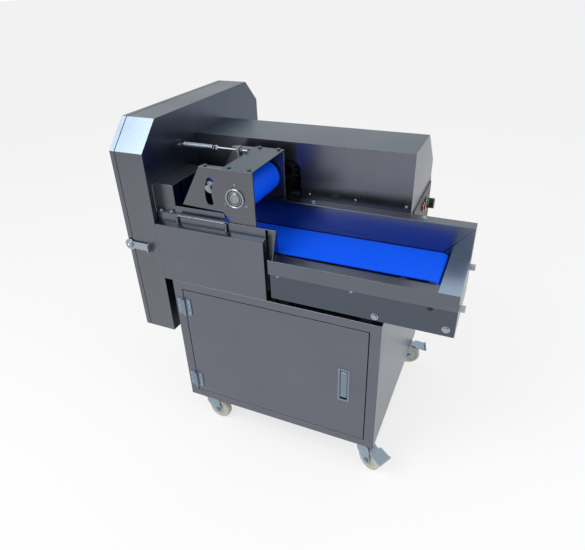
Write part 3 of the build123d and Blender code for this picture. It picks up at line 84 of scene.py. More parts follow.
class Wire:
    """An output socket; sums on it add Math nodes to its tree."""

    def __init__(self, tree, socket):
        self.tree = tree
        self.socket = socket

    def sum(self, operation, first, second):
        return node(self.tree, "ShaderNodeMath", {"operation": operation}, {0: first, 1: second})

    def __add__(self, other):
        return self.sum("ADD", self, other)

    def __radd__(self, other):
        return self.sum("ADD", other, self)

    def __sub__(self, other):
        return self.sum("SUBTRACT", self, other)

    def __rsub__(self, other):
        return self.sum("SUBTRACT", other, self)

    def __mul__(self, other):
        return self.sum("MULTIPLY", self, other)

    def __rmul__(self, other):
        return self.sum("MULTIPLY", other, self)


def node(tree, kind, settings, values, output=0):
    """Adds a node, sets it up, feeds its sockets and gives one of its outputs."""
    made = tree.nodes.new(kind)
    for key, value in settings.items():
        if key == "stops":
            ramp = made.color_ramp
            for place, shade in value:
                stop = ramp.elements[0] if place == value[0][0] else ramp.elements.new(place)
                stop.position = place
                stop.color = (shade, shade, shade, 1)
            ramp.elements.remove(ramp.elements[-1]) if len(ramp.elements) > len(value) else None
        else:
            setattr(made, key, value)
    for key, value in values.items():
        if isinstance(value, Wire):
            tree.links.new(value.socket, made.inputs[key])
        else:
            made.inputs[key].default_value = value
    return Wire(tree, made.outputs[output])


def finish(name, metallic=0.0, roughness=0.5, **sockets):
    """A new material with its fixed values set on the shader's own sockets."""
    material = bpy.data.materials.new(name)
    material.use_nodes = True
    tree = material.node_tree
    shader = tree.nodes["Principled BSDF"]
    shader.inputs["Metallic"].default_value = metallic
    shader.inputs["Roughness"].default_value = roughness
    for key, value in sockets.items():
        shader.inputs[key.replace("_", " ")].default_value = value
    return material, tree, shader


def place(tree, scale):
    """Object coordinates, stretched."""
    where = node(tree, "ShaderNodeTexCoord", {}, {}, "Object")
    return node(tree, "ShaderNodeMapping", {}, {"Vector": where, "Scale": scale})


def noise(tree, scale, size=1.0, detail=2.0, rough=0.5):
    where = place(tree, scale)
    return node(tree, "ShaderNodeTexNoise", {}, {"Vector": where, "Scale": size, "Detail": detail, "Roughness": rough})


def blend(tree, amount, first, second):
    values = {"Factor": amount, 6: (*first, 1) if isinstance(first, tuple) else first,
              7: (*second, 1) if isinstance(second, tuple) else second}
    return node(tree, "ShaderNodeMix", {"data_type": "RGBA"}, values, 2)


def steel(name, tone, grain="z", roughness=0.34, streak=0.10, metallic=1.0, lift=1.35):
    """Brushed stainless sheet: fine lines along the grain, cloudy patches from handling and cleaning."""
    material, tree, shader = finish(name, metallic, roughness)
    across = {"x": (3, 520, 520), "y": (520, 3, 520), "z": (520, 520, 3)}[grain]
    wide = {"x": (0.8, 26, 26), "y": (26, 0.8, 26), "z": (26, 26, 0.8)}[grain]
    lines = noise(tree, across, 1.0, 3.0, 0.6)
    bands = noise(tree, wide, 1.0, 2.0, 0.5)
    clouds = noise(tree, (1, 1, 1), 5.0, 4.0, 0.55)
    shade = 0.5 + (lines - 0.5) * streak + (bands - 0.5) * (streak * 1.4) + (clouds - 0.5) * 0.35
    dark = tuple(c / lift for c in tone)
    light = tuple(min(1.0, c * lift) for c in tone)
    tree.links.new(blend(tree, shade, dark, light).socket, shader.inputs["Base Color"])
    rough = roughness + (clouds - 0.5) * 0.16 + (lines - 0.5) * 0.10
    tree.links.new(rough.socket, shader.inputs["Roughness"])
    bump = node(tree, "ShaderNodeBump", {}, {"Strength": 0.05, "Distance": 0.0002, "Height": lines})
    tree.links.new(bump.socket, shader.inputs["Normal"])
    return material


def speckled(name, low, high, roughness, metallic=0.0, size=260.0, bump=0.08, depth=0.0002, **sockets):
    """A cast, moulded or painted surface with fine grain and soft clouds."""
    material, tree, shader = finish(name, metallic, roughness, **sockets)
    grain = noise(tree, (1, 1, 1), size, 3.0, 0.6)
    clouds = noise(tree, (1, 1, 1), 9.0, 3.0, 0.5)
    shade = 0.5 + (grain - 0.5) * 0.5 + (clouds - 0.5) * 0.9
    tree.links.new(blend(tree, shade, low, high).socket, shader.inputs["Base Color"])
    rough = roughness + (clouds - 0.5) * 0.14
    tree.links.new(rough.socket, shader.inputs["Roughness"])
    relief = node(tree, "ShaderNodeBump", {}, {"Strength": bump, "Distance": depth, "Height": grain})
    tree.links.new(relief.socket, shader.inputs["Normal"])
    return material


def belt_blue(name, grain="x"):
    """Food belt: smooth blue coating, a fine cloth print and faint scuffs along the run."""
    material, tree, shader = finish(name, 0.0, 0.42, Specular_IOR_Level=0.12)
    weave = node(tree, "ShaderNodeTexVoronoi", {}, {"Vector": place(tree, (1, 1, 1)), "Scale": 900.0})
    scuff = noise(tree, (1.5, 60, 1.5) if grain == "x" else (60, 1.5, 60), 1.0, 3.0, 0.6)
    clouds = noise(tree, (1, 1, 1), 7.0, 3.0, 0.5)
    shade = 0.5 + (scuff - 0.5) * 0.5 + (clouds - 0.5) * 0.5
    colour = blend(tree, shade, (0.0, 0.078, 0.78), (0.001, 0.11, 0.98))
    tree.links.new(colour.socket, shader.inputs["Base Color"])
    tree.links.new((0.42 + (scuff - 0.5) * 0.2).socket, shader.inputs["Roughness"])
    relief = node(tree, "ShaderNodeBump", {}, {"Strength": 0.10, "Distance": 0.0002, "Height": weave})
    tree.links.new(relief.socket, shader.inputs["Normal"])
    return material


panel_steel = steel("panel_steel", (0.135, 0.14, 0.16), "z")
front_steel = steel("front_steel", (0.145, 0.152, 0.18), "x")
# painted light: a lighter, bluer copy of the front steel for the cabinet's left and right faces
side_steel = steel("side_steel", (0.17, 0.19, 0.22), "y")
cover_steel = steel("cover_steel", (0.15, 0.155, 0.185), "z", 0.30, 0.16)
# painted shade: a darker, bluer copy of the steel for faces that look up, standing in for the dark surround they
# reflect
slate_steel = steel("slate_steel", (0.075, 0.10, 0.13), "x", 0.36, 0.12)
housing_steel = steel("housing_steel", (0.145, 0.15, 0.175), "z", 0.30, 0.14)
# painted shade: a darker copy of the steel for the housing's right wall and the feed mouth, standing in for the shade
# there
wall_steel = steel("wall_steel", (0.085, 0.105, 0.14), "z", 0.34, 0.16)
# painted reflection: a bright blue copy of the steel for the chamfers, standing in for a bright reflection
chamfer_steel = steel("chamfer_steel", (0.48, 0.60, 0.74), "y", 0.30, 0.06)
trough_steel = steel("trough_steel", (0.13, 0.145, 0.17), "x", 0.26, 0.12)
# painted shade: a darker copy of the trough steel for the trough's side plate, standing in for the shadow under the
# lip
outer_steel = steel("outer_steel", (0.085, 0.10, 0.125), "x", 0.34, 0.12)
# painted reflection: a bright blue copy of the steel for the top of the trough's end table
table_steel = steel("table_steel", (0.30, 0.38, 0.50), "y", 0.30, 0.10)
# painted reflection: a lighter, bluer copy of the trough steel for the inner face of the back plate
inner_steel = steel("inner_steel", (0.16, 0.18, 0.22), "x", 0.24, 0.10)
# painted highlight: a bright copy of the steel for the rounded bends of the sheets
edge_steel = steel("edge_steel", (0.42, 0.47, 0.53), "x", 0.28, 0.08)
bright_steel = steel("bright_steel", (0.34, 0.37, 0.41), "x", 0.26, 0.08)
lock_steel = steel("lock_steel", (0.20, 0.25, 0.31), "z", 0.28, 0.08)
turned_steel = steel("turned_steel", (0.26, 0.28, 0.31), "x", 0.28, 0.12)
dark_steel = steel("dark_steel", (0.045, 0.05, 0.06), "x", 0.40, 0.10)
knife_steel = steel("knife_steel", (0.42, 0.44, 0.47), "y", 0.20, 0.10)
zinc = speckled("zinc_plate", (0.20, 0.27, 0.33), (0.36, 0.45, 0.52), 0.32, 0.75, 120.0, 0.05)
cream_nylon = speckled("cream_nylon", (0.46, 0.47, 0.40), (0.56, 0.57, 0.49), 0.50, 0.0, 300.0, 0.05)
seal_black = speckled("seal_black", (0.008, 0.008, 0.009), (0.02, 0.02, 0.022), 0.75, 0.0, 500.0, 0.2)
belt_black = speckled("belt_black", (0.012, 0.012, 0.013), (0.03, 0.03, 0.032), 0.7, 0.0, 400.0, 0.25)
cast_grey = speckled("cast_grey", (0.10, 0.105, 0.11), (0.17, 0.175, 0.18), 0.6, 0.6, 420.0, 0.35, 0.0004)
motor_grey = speckled("motor_grey", (0.055, 0.07, 0.085), (0.085, 0.10, 0.12), 0.48, 0.0, 380.0, 0.12)
alloy = steel("alloy", (0.36, 0.37, 0.39), "y", 0.32, 0.10)
panel_black = speckled("panel_black", (0.012, 0.012, 0.013), (0.022, 0.022, 0.024), 0.42, 0.0, 600.0, 0.12)
knob_black = speckled("knob_black", (0.010, 0.010, 0.011), (0.02, 0.02, 0.022), 0.36, 0.0, 700.0, 0.10)
mark_white = speckled("mark_white", (0.60, 0.60, 0.58), (0.72, 0.72, 0.70), 0.5, 0.0, 500.0, 0.03)
button_green = speckled("button_green", (0.012, 0.22, 0.04), (0.02, 0.30, 0.06), 0.28, 0.0, 500.0, 0.02)
button_red = speckled("button_red", (0.42, 0.012, 0.010), (0.55, 0.02, 0.016), 0.28, 0.0, 500.0, 0.02)
unit_grey = speckled("unit_grey", (0.20, 0.21, 0.22), (0.28, 0.29, 0.30), 0.55, 0.0, 420.0, 0.1)
feed_blue = belt_blue("feed_blue")
press_blue = belt_blue("press_blue", "y")


# Mesh helpers

def only(piece):
    bpy.ops.object.select_all(action="DESELECT")
    piece.select_set(True)
    bpy.context.view_layer.objects.active = piece


def apply_modifier(piece, kind, **settings):
    only(piece)
    modifier = piece.modifiers.new(kind.lower(), kind)
    for key, value in settings.items():
        setattr(modifier, key, value)
    bpy.ops.object.modifier_apply(modifier=modifier.name)


def smooth(piece, angle=35):
    only(piece)
    bpy.ops.object.shade_smooth_by_angle(angle=radians(angle))


def soften(piece, width, segments=2, angle=35, edge_slot=-1):
    """Rounds the sharp edges and keeps the flats flat; the rounded edges may take their own finish."""
    apply_modifier(
        piece, "BEVEL", width=width / 1000, segments=segments, limit_method="ANGLE", material=edge_slot,
        angle_limit=radians(angle), harden_normals=False, miter_outer="MITER_ARC", use_clamp_overlap=True,
    )
    smooth(piece, 60)
    apply_modifier(piece, "WEIGHTED_NORMAL", mode="FACE_AREA", weight=80, keep_sharp=True)


def settle(piece):
    """Puts the piece's place into its mesh."""
    only(piece)
    bpy.ops.object.transform_apply(location=True, rotation=True, scale=True)


def block(name, x, y, z, edge=0.5, segments=2):
    """A box between limits, its edges rounded."""
    low, high = at(x[0], y[0], z[0]), at(x[1], y[1], z[1])
    bpy.ops.object.select_all(action="DESELECT")
    bpy.ops.mesh.primitive_cube_add(size=1, location=(low + high) / 2, scale=high - low)
    piece = bpy.context.active_object
    piece.name = name
    settle(piece)
    if edge:
        soften(piece, edge, segments)
    return piece


def turn_to(direction):
    return Vector(direction).to_track_quat("Z", "Y").to_matrix().to_4x4()


def rod(name, radius, start, end, edge=0.4, sides=40):
    """A round bar between two places, its ends rounded."""
    low, high = at(*start), at(*end)
    bpy.ops.object.select_all(action="DESELECT")
    bpy.ops.mesh.primitive_cylinder_add(vertices=sides, radius=radius / 1000, depth=(high - low).length)
    piece = bpy.context.active_object
    piece.name = name
    piece.matrix_world = Matrix.Translation((low + high) / 2) @ turn_to(high - low)
    settle(piece)
    if edge:
        soften(piece, edge, 2, 50)
    else:
        smooth(piece, 40)
    return piece


def lathe(name, profile, start, direction, steps=48):
    """A turned piece: profile points are (radius, distance along the axis), spun about it."""
    bpy.ops.object.select_all(action="DESELECT")
    mesh = bpy.data.meshes.new(name)
    points = [(r / 1000, 0, h / 1000) for r, h in profile]
    mesh.from_pydata(points, [(i, i + 1) for i in range(len(points) - 1)], [])
    piece = bpy.data.objects.new(name, mesh)
    bpy.context.scene.collection.objects.link(piece)
    only(piece)
    bpy.ops.object.mode_set(mode="EDIT")
    bpy.ops.mesh.select_all(action="SELECT")
    bpy.ops.mesh.spin(steps=steps, angle=2 * pi, center=(0, 0, 0), axis=(0, 0, 1))
    bpy.ops.mesh.select_all(action="SELECT")
    bpy.ops.mesh.remove_doubles(threshold=0.000002)
    bpy.ops.mesh.normals_make_consistent(inside=False)
    bpy.ops.object.mode_set(mode="OBJECT")
    piece.matrix_world = Matrix.Translation(at(*start)) @ turn_to(direction)
    settle(piece)
    smooth(piece, 35)
    return piece


def joined(name, pieces):
    bpy.ops.object.select_all(action="DESELECT")
    for piece in pieces:
        piece.select_set(True)
    bpy.context.view_layer.objects.active = pieces[0]
    if len(pieces) > 1:
        bpy.ops.object.join()
    whole = bpy.context.active_object
    whole.name = name
    return whole


def copies(piece, moves):
    """Further copies of a piece, each with its own mesh, moved by steps in millimetres."""
    made = []
    for step in moves:
        extra = piece.copy()
        extra.data = piece.data.copy()
        bpy.context.scene.collection.objects.link(extra)
        extra.data.transform(Matrix.Translation(Vector(step) / 1000))
        made.append(extra)
    return made


def body_of(cad):
    return frame["nodes"][cad]["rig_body"]


def slot_of(cad):
    for part in frame["record"]["subparts"]:
        if part["node"] == cad:
            return part["material_slot"]


def dress(piece, materials, body, slot, cad=()):
    """Gives a piece its finishes and its body, and hides the CAD nodes that it stands for; the slot argument is not
    used.
    """
    piece.data.materials.clear()
    for material in materials if isinstance(materials, (list, tuple)) else [materials]:
        piece.data.materials.append(material)
    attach(piece, body)
    if cad:
        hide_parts(*cad)
    return piece


def fit(piece, material, cad, stands=False):
    """A fitting that moves with a CAD node."""
    return dress(piece, material, body_of(cad), slot_of(cad), (cad,) if stands else ())


def shape_of(cad):
    """A merged copy of a CAD node's mesh."""
    source = frame["nodes"][cad]
    piece = source.copy()
    piece.data = source.data.copy()
    piece.name = cad + "_shape"
    for key in list(piece.keys()):
        del piece[key]
    piece.parent = None
    bpy.context.scene.collection.objects.link(piece)
    only(piece)
    bpy.ops.object.mode_set(mode="EDIT")
    bpy.ops.mesh.select_all(action="SELECT")
    bpy.ops.mesh.remove_doubles(threshold=0.00001)
    bpy.ops.mesh.customdata_custom_splitnormals_clear()
    bpy.ops.object.mode_set(mode="OBJECT")
    return piece


def folded(cad, material, edge=0.7, segments=2, angle=30, edge_finish=None):
    """A CAD node's shape with its edges rounded, in its own finish; unless another edge finish is given, the bends get
    a painted highlight.
    """
    piece = shape_of(cad)
    piece.data.materials.clear()
    # painted highlight: by default the second finish, on the rounded bends, is the bright copy
    finishes = [material, edge_finish or edge_steel]
    for finish_of in finishes:
        piece.data.materials.append(finish_of)
    for face in piece.data.polygons:
        face.material_index = 0
    soften(piece, edge, segments, angle, 1)
    return dress(piece, finishes, body_of(cad), slot_of(cad), (cad,))


def faced(piece, finish_of, direction, x=None, y=None, z=None, limit=0.96):
    """Gives the flat faces that look one way, between limits in the machine's frame, a finish of their own; here that
    finish is painted light or shade for faces looking that way.
    """
    piece.data.materials.append(finish_of)
    slot = len(piece.data.materials) - 1
    way = Vector(direction).normalized()
    for face in piece.data.polygons:
        if face.material_index or face.normal.dot(way) < limit:
            continue
        spot = ((face.center.x - left_edge) * 1000, (face.center.y - front_edge) * 1000, face.center.z * 1000)
        if all(span is None or span[0] <= value <= span[1] for value, span in zip(spot, (x, y, z))):
            face.material_index = slot


def kept(cad, material):
    """A CAD node shown as it is, in its own finish."""
    shape = frame["nodes"][cad]
    shape.data.materials.clear()
    shape.data.materials.append(material)


# Sheet metal

up, front, right, left = (0, 0, 1), (0, -1, 0), (1, 0, 0), (-1, 0, 0)
shell = folded("cabinet_shell", front_steel, 1.6)
# painted light: the cabinet's left and right faces take the lighter copy
faced(shell, side_steel, right)
faced(shell, side_steel, left)
folded("cabinet_door", front_steel, 1.0)
body_sheet = folded("body_frame", front_steel, 1.2)
# painted shade: the body's upward faces take the darker copy
faced(body_sheet, slate_steel, up)
housing = folded("cutter_housing", housing_steel, 1.8)
# painted shade: the housing's top faces take the darker copy
faced(housing, slate_steel, up, z=(950, 970))
# painted shade: the housing's right wall takes the darker copy
faced(housing, wall_steel, right)
# painted reflection: the housing's chamfer takes the bright blue copy
faced(housing, chamfer_steel, (0, -1, 1))
pan = folded("housing_door", housing_steel, 1.8)
# painted shade: the door's top faces take the darker copy
faced(pan, slate_steel, up, z=(950, 970))
# painted reflection: the door's chamfer takes the bright blue copy
faced(pan, chamfer_steel, (0, -1, 1))
cover = folded("motor_cover", cover_steel, 2.2)
# painted shade: the motor cover's upward faces take the darker copy
faced(cover, slate_steel, up)
trough = folded("conveyor_frame", trough_steel, 1.2)
# painted shade: the side plate's front faces take the darker copy
faced(trough, outer_steel, front, y=(0, 2))
# painted reflection: the back plate's inner face takes the lighter, bluer copy
faced(trough, inner_steel, front, y=(160, 175))
# painted reflection: the end table's top faces take the bright blue copy
faced(trough, table_steel, up, z=(666.5, 669))
ledge_sheet = folded("ledge_cover", trough_steel, 0.8)
hood = folded("throat_hood", panel_steel, 1.0)
folded("press_side_plates", panel_steel, 0.9)
# painted shade: the whole press top plate takes the darker copy for upward faces
folded("press_top_plate", slate_steel, 0.7)
# painted shade: the feed mouth takes the darker copy, standing in for the shade inside it
folded("feed_mouth", wall_steel, 0.8)
folded("belt_bed", trough_steel, 0.6)
folded("control_panel", panel_black, 0.8, 2, 30, panel_black)
folded("latch_lever", bright_steel, 0.8)
folded("lock_bezel", lock_steel, 0.8)
folded("lock_paddle", lock_steel, 0.8)
for corner_name in ("front_right", "rear_right"):
    folded("brake_pedal_" + corner_name, zinc, 0.8, 2, 30, zinc)
for corner_name in ("front_left", "front_right", "rear_left", "rear_right"):
    folded("caster_fork_" + corner_name, zinc, 0.7, 2, 40, zinc)

for cad, material in {
    "fixed_hinge_leaves": lock_steel, "cabinet_hinge_leaves": lock_steel, "housing_hinge_leaves": lock_steel,
    "electric_units": unit_grey, "caster_plates": zinc, "housing_seal": seal_black,
    "knife_hub": turned_steel, "knife_blades": knife_steel, "main_spindle": turned_steel,
    "spindle_bearings": cast_grey, "spindle_pulley": alloy, "motor_pulley": alloy, "knife_drive_belt": belt_black,
    "main_motor": motor_grey, "speed_dial": knob_black, "start_button": button_green, "stop_button": button_red,
    "feed_belt": feed_blue, "feed_drive_roller": alloy, "feed_tail_roller": alloy, "feed_bearings": cast_grey,
    "tension_screw_front": bright_steel, "tension_screw_rear": bright_steel,
    "press_arm": turned_steel, "press_drive_roller": alloy, "press_front_roller": alloy, "press_belt": press_blue,
    "press_gear": dark_steel, "feed_output_gear": dark_steel,
    "feed_timing_belt": belt_black, "feed_gearmotor": motor_grey,
}.items():
    kept(cad, material)


# Fasteners

def socket_head(name, where, direction, radius=3.5, height=1.6):
    """A round head with a socket, its seat at a place."""
    profile = [
        (0, height * 0.35), (radius * 0.42, height * 0.35), (radius * 0.46, height), (radius * 0.78, height),
        (radius, height * 0.55), (radius, 0), (0, 0),
    ]
    return lathe(name, profile, where, direction, 24)


def hex_bolt(name, where, direction, flats=10.0, height=4.0):
    """A hexagon head on a washer, its corners taken off."""
    bpy.ops.object.select_all(action="DESELECT")
    bpy.ops.mesh.primitive_cylinder_add(vertices=6, radius=flats / 2000 / cos(radians(30)), depth=height / 1000)
    head = bpy.context.active_object
    head.data.transform(Matrix.Translation((0, 0, (height / 2 + 1) / 1000)))
    only(head)
    bpy.ops.object.mode_set(mode="EDIT")
    bpy.ops.mesh.select_all(action="DESELECT")
    bpy.ops.object.mode_set(mode="OBJECT")
    for face in head.data.polygons:
        face.select = face.normal.z > 0.9
    bpy.ops.object.mode_set(mode="EDIT")
    bpy.ops.mesh.inset(thickness=flats * 0.06 / 1000)
    bpy.ops.transform.translate(value=(0, 0, height * 0.10 / 1000))
    bpy.ops.object.mode_set(mode="OBJECT")
    apply_modifier(head, "BEVEL", width=0.00025, segments=2, limit_method="ANGLE", angle_limit=radians(25))
    bpy.ops.object.select_all(action="DESELECT")
    bpy.ops.mesh.primitive_cylinder_add(vertices=28, radius=flats * 0.85 / 1000, depth=0.001)
    washer = bpy.context.active_object
    washer.data.transform(Matrix.Translation((0, 0, 0.0005)))
    whole = joined(name, [head, washer])
    whole.matrix_world = Matrix.Translation(at(*where)) @ turn_to(direction)
    settle(whole)
    smooth(whole, 35)
    return whole


def row_of(name, make, places, direction, material, cad, **size):
    """The same fastener at several places, as one piece."""
    first = make(name, places[0], direction, **size)
    start = Vector(places[0])
    rest = copies(first, [Vector(spot) - start for spot in places[1:]])
    return fit(joined(name, [first] + rest), material, cad)


hinge_z = [centre + step for centre in (179.5, 454) for step in (-18, 0, 18)]
row_of("fixed_leaf_screws", socket_head, [(13.5, -2.5, z) for z in hinge_z], front, bright_steel, "fixed_hinge_leaves", radius=3.2)
row_of("moving_leaf_screws", socket_head, [(45.5, -2.5, z) for z in hinge_z], front, bright_steel, "cabinet_hinge_leaves", radius=3.2)
low, high = own("lock_bezel")
middle = (low.x + high.x) / 2
key = lathe("key_barrel", [(0, 0.4), (0.8, 0.4), (0.9, 1.0), (3.2, 1.0), (3.6, 0.6), (3.6, -1), (0, -1)], (middle, -0.5, high.z - 12), front, 28)
fit(key, bright_steel, "lock_paddle")
row_of("lock_screws", socket_head, [(middle, low.y, low.z + 3.2), (middle, low.y, high.z - 3.2)], front, bright_steel, "lock_bezel", radius=2.2, height=1.0)
row_of("trough_bolts", hex_bolt, [(744, 1, 569), (580, 1, 562)], front, bright_steel, "conveyor_frame", flats=11.0, height=4.0)
row_of("trough_screws", socket_head, [(329, 1, 618), (520, 1, 618)], front, bright_steel, "conveyor_frame", radius=3.5)
plug = lathe("trough_plug", [(0, 0.8), (3.5, 0.8), (5.2, 1.6), (6.4, 0.8), (6.4, 0), (0, 0)], (704, 1, 617), front, 28)
fit(plug, seal_black, "conveyor_frame")
row_of("ledge_bolts", hex_bolt, [(386, 219.5, 730), (584, 219.5, 730)], up, bright_steel, "body_frame", flats=10.0, height=4.0)
row_of("flange_bolts", hex_bolt, [(352, 188, 745), (640, 188, 745)], up, bright_steel, "conveyor_frame", flats=9.0, height=3.5)
row_of("hood_screws", hex_bolt, [(-14, 24.5, 736), (18, 24.5, 736)], up, bright_steel, "throat_hood", flats=8.0, height=3.0)
row_of("cover_screws", socket_head, [(x, 242, 742) for x in (60, 320, 450, 585)], front, bright_steel, "motor_cover", radius=3.6)
cap = lathe("latch_cap", [(0, 5), (3.5, 4.2), (5.6, 2.0), (6.4, 0.4), (9, 0.3), (9, 0), (0, 0)], (own("latch_lever")[0].x + 16, -11.3, 630), front, 36)
fit(cap, bright_steel, "latch_lever")


# Drum bearings

def bearing(name, y, outward):
    """A flanged insert: outer ring, rubber shield, inner race and a turned lip."""
    rings = {
        "ring": (bright_steel, [(20.5, 0), (21, 4.2), (22, 5), (24, 5), (25, 4), (25, 0)]),
        "shield": (seal_black, [(13.5, 0.6), (13.5, 2.6), (20.6, 2.2), (20.6, 0.6)]),
        "race": (turned_steel, [(8.2, 0.6), (8.2, 3.6), (9, 4), (12.6, 4), (13.6, 3.2), (13.6, 0.6)]),
        "lip": (turned_steel, [(15.8, 1.4), (15.8, 3.0), (16.4, 3.4), (17.6, 3.4), (18.2, 3.0), (18.2, 1.4)]),
    }
    for part, (material, profile) in rings.items():
        piece = lathe(name + "_" + part, profile + [profile[0]], (215, y, 802), outward, 48)
        fit(piece, material, "press_bearings", name == "front_bearing" and part == "ring")


bearing("front_bearing", 23, (0, -1, 0))
bearing("rear_bearing", 203, (0, 1, 0))
circle = [(215 + 34 * cos(radians(a)), 802 + 34 * sin(radians(a))) for a in (88, 214, 330)]
row_of("front_bearing_screws", socket_head, [(x, 23, z) for x, z in circle], front, turned_steel, "press_bearings", radius=3.6, height=2.4)
row_of("rear_bearing_screws", socket_head, [(x, 203, z) for x, z in circle], (0, 1, 0), turned_steel, "press_bearings", radius=3.6, height=2.4)
for name, x, z, cad in (("drum", 215, 802, "press_drive_roller"), ("front_roller", 141.436, 818.984, "press_front_roller")):
    y = own(cad)[0].y
    end = lathe(name + "_end", [(0, -1.5), (2.0, -1.5), (2.6, 0.1), (6.6, 0.1), (7.6, -0.8), (8.05, -0.8), (8.05, -1.6), (7, -1.6)], (x, y, z), front, 36)
    fit(end, turned_steel, cad)


# Spring of the press arm

def coil(name, left_x, right_x, radius, wire, turns, y, z):
    """A close-wound coil along X."""
    bpy.ops.object.select_all(action="DESELECT")
    bpy.ops.mesh.primitive_circle_add(vertices=8, radius=wire / 1000)
    piece = bpy.context.active_object
    piece.data.transform(Matrix.Translation((radius / 1000, 0, 0)) @ Matrix.Rotation(pi / 2, 4, "X"))
    pitch = (right_x - left_x) / turns
    apply_modifier(
        piece, "SCREW", axis="Z", angle=2 * pi, screw_offset=pitch / 1000, iterations=turns, steps=20,
        render_steps=20, use_merge_vertices=True,
    )
    only(piece)
    bpy.ops.object.mode_set(mode="EDIT")
    bpy.ops.mesh.select_all(action="SELECT")
    bpy.ops.mesh.remove_doubles(threshold=0.000002)
    bpy.ops.mesh.fill_holes(sides=8)
    bpy.ops.mesh.normals_make_consistent(inside=False)
    bpy.ops.object.mode_set(mode="OBJECT")
    piece.name = name
    piece.matrix_world = Matrix.Translation(at(left_x, y, z)) @ turn_to((1, 0, 0))
    settle(piece)
    smooth(piece, 60)
    return piece


def hook(name, centre, radius, wire, angle, turn):
    """Part of a round eye in the plane of X and Z."""
    bpy.ops.object.select_all(action="DESELECT")
    bpy.ops.mesh.primitive_circle_add(vertices=10, radius=wire / 1000)
    piece = bpy.context.active_object
    piece.data.transform(Matrix.Translation((radius / 1000, 0, 0)) @ Matrix.Rotation(pi / 2, 4, "X"))
    only(piece)
    bpy.ops.object.mode_set(mode="EDIT")
    bpy.ops.mesh.select_all(action="SELECT")
    bpy.ops.mesh.spin(steps=20, angle=radians(angle), center=(0, 0, 0), axis=(0, 0, 1))
    bpy.ops.mesh.select_all(action="SELECT")
    bpy.ops.mesh.fill_holes(sides=10)
    bpy.ops.mesh.normals_make_consistent(inside=False)
    bpy.ops.object.mode_set(mode="OBJECT")
    piece.name = name
    piece.matrix_world = Matrix.Translation(at(*centre)) @ Matrix.Rotation(pi / 2, 4, "X") @ Matrix.Rotation(radians(turn), 4, "Z")
    settle(piece)
    smooth(piece, 60)
    return piece


spring_y, spring_z = 150, 878
spring = joined("spring_coil", [
    coil("coil", -3, 86, 4.9, 1.55, 28, spring_y, spring_z),
    hook("left_eye", (-14.5, spring_y, spring_z), 4.4, 1.5, 300, 30),
    rod("left_leg", 1.5, (-11, spring_y, spring_z), (-2, spring_y, spring_z), 0),
    hook("right_eye", (93, spring_y, spring_z), 4.4, 1.5, 300, -150),
    rod("right_leg", 1.5, (85, spring_y, spring_z), (90, spring_y, spring_z), 0),
])
fit(spring, bright_steel, "tension_spring", True)
rod_eye = hook("rod_eye", (98, spring_y, spring_z), 4.4, 2.2, 340, 10)
fit(rod_eye, turned_steel, "press_arm")


# Caster wheels and axle caps

def tread(corner_name):
    """A moulded wheel: rounded tread, dished web with a raised ring, and a hub."""
    low, high = own("caster_wheel_" + corner_name)
    turn = {"front_left": -5, "front_right": -28, "rear_left": 160, "rear_right": 14}[corner_name]
    half = [
        (5.2, 13.4), (9.6, 13.4), (10.8, 12.8), (11.6, 9.4), (14, 8.4), (19, 8.0), (19.6, 8.9), (21.4, 8.9), (22, 8.0),
        (25.2, 8.6), (27.4, 11.2), (29, 12), (31.6, 12), (34.4, 11.2), (36.4, 8.6), (37.4, 4.6), (37.5, 0),
    ]
    profile = half + [(r, -w) for r, w in reversed(half[:-1])] + [half[0]]
    way = (-sin(radians(turn)), cos(radians(turn)), 0)
    centre = (low + high) / 2
    piece = lathe("wheel_" + corner_name, profile, tuple(centre), way, 56)
    fit(piece, cream_nylon, "caster_wheel_" + corner_name, True)
    reach = 17.3
    for side in (-1, 1):
        spot = centre + Vector(way) * side * (reach + 4.8)
        ends = lathe("axle_cap_" + corner_name + ("_in" if side < 0 else "_out"), [(0, 1.2), (2.6, 1.0), (4.2, 0.2), (4.2, -1), (0, -1)], tuple(spot), tuple(Vector(way) * side), 24)
        fit(ends, zinc, "caster_fork_" + corner_name)


for corner_name in ("front_left", "front_right", "rear_left", "rear_right"):
    tread(corner_name)


# Control panel marks

low, high = own("speed_dial")
dial_y, dial_z = (low.y + high.y) / 2, (low.z + high.z) / 2
ticks = []
for i in range(11):
    angle = radians(225 - 27 * i)
    direction = Vector((0, cos(angle), sin(angle)))
    inner = Vector((603.1, dial_y, dial_z)) + direction * 18.5
    outer = inner + direction * (4.5 if i % 5 else 6.5)
    ticks.append(rod("tick", 0.5, tuple(inner), tuple(outer), 0, 8))
fit(joined("dial_scale", ticks), mark_white, "control_panel")
pointer = rod("dial_pointer", 0.7, (high.x, dial_y - 1, dial_z + 1), (high.x, dial_y - 10, dial_z + 10), 0, 10)
fit(pointer, mark_white, "speed_dial")
collars = []
for cad in ("start_button", "stop_button"):
    low, high = own(cad)
    y, z = (low.y + high.y) / 2, (low.z + high.z) / 2
    ring_of = lathe("collar", [(9.6, 3.6), (10.2, 4.8), (12.4, 4.8), (13.2, 4.0), (13.2, 3.4), (9.6, 3.4), (9.6, 3.6)], (603, y, z), right, 36)
    collars.append(ring_of)
fit(joined("button_collars", collars), bright_steel, "control_panel")


# Floor, light and camera

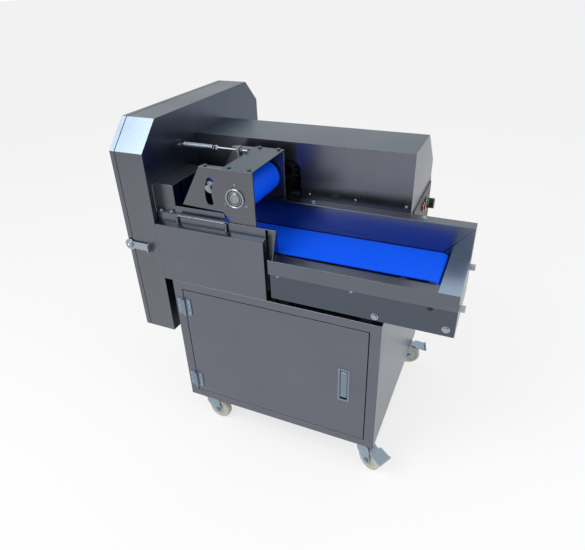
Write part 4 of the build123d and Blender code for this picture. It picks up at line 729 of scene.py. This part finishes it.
def stage():
    """A white floor that keeps a soft shadow."""
    bpy.ops.object.select_all(action="DESELECT")
    bpy.ops.mesh.primitive_plane_add(size=60, location=(0, 0, 0))
    floor = bpy.context.active_object
    floor.name = "floor"
    material, tree, shader = finish("floor_white", 0.0, 0.9)
    shader.inputs["Base Color"].default_value = (0.92, 0.92, 0.92, 1)
    cloud = noise(tree, (1, 1, 1), 30.0, 2.0, 0.5)
    tree.links.new((0.86 + (cloud - 0.5) * 0.06).socket, shader.inputs["Roughness"])
    path = tree.nodes.new("ShaderNodeLightPath")
    seen = Wire(tree, path.outputs["Is Camera Ray"]) + Wire(tree, path.outputs["Is Glossy Ray"])
    seen = seen + Wire(tree, path.outputs["Is Transmission Ray"])
    glow = tree.nodes.new("ShaderNodeEmission")
    glow.inputs["Strength"].default_value = 1.0
    mix = tree.nodes.new("ShaderNodeMixShader")
    tree.links.new((seen * 0.72).socket, mix.inputs[0])
    tree.links.new(shader.outputs[0], mix.inputs[1])
    tree.links.new(glow.outputs[0], mix.inputs[2])
    tree.links.new(mix.outputs[0], tree.nodes["Material Output"].inputs[0])
    floor.data.materials.append(material)


def world_light():
    """Soft light from all round; the white surround shows to the camera and in the metal."""
    world = bpy.data.worlds.new("studio")
    bpy.context.scene.world = world
    world.use_nodes = True
    tree = world.node_tree
    background = tree.nodes["Background"]
    path = tree.nodes.new("ShaderNodeLightPath")
    seen = Wire(tree, path.outputs["Is Camera Ray"]) + Wire(tree, path.outputs["Is Glossy Ray"])
    seen = seen + Wire(tree, path.outputs["Is Transmission Ray"])
    level = node(tree, "ShaderNodeMix", {"data_type": "FLOAT"}, {"Factor": seen, 2: 0.6, 3: 1.0})
    tree.links.new(level.socket, background.inputs["Strength"])
    background.inputs["Color"].default_value = (1, 1, 1, 1)


def lamp(name, where, target, size, power):
    place_at, aim = at(*where), at(*target)
    bpy.ops.object.light_add(type="AREA", location=place_at)
    light = bpy.context.active_object
    light.name = name
    light.data.shape = "RECTANGLE"
    light.data.size, light.data.size_y = size
    light.data.energy = power
    light.rotation_euler = (place_at - aim).to_track_quat("Z", "Y").to_euler()


def camera():
    azimuth, elevation, roll = radians(24.505), radians(31.17), radians(-1.981)
    bpy.ops.object.camera_add()
    eye = bpy.context.active_object
    eye.name = "camera"
    eye.matrix_world = (
        Matrix.Translation(at(809.1, -954.6, 1274.8))
        @ Matrix.Rotation(azimuth, 4, "Z")
        @ Matrix.Rotation(pi / 2 - elevation, 4, "X")
        @ Matrix.Rotation(roll, 4, "Z")
    )
    width, height, focal = 585, 550, 504.53
    eye.data.sensor_fit = "HORIZONTAL"
    eye.data.sensor_width = 36
    eye.data.lens = focal / width * 36
    eye.data.shift_x = (width / 2 - 293.6) / width
    eye.data.shift_y = (272.6 - height / 2) / width
    bpy.context.scene.camera = eye


stage()
world_light()
lamp("key", (-700, -1500, 2600), (250, 200, 600), (1.6, 1.6), 42)
lamp("side", (2300, -300, 1500), (400, 250, 600), (1.4, 1.4), 14)
camera()
bpy.context.scene.view_settings.view_transform = "Standard"
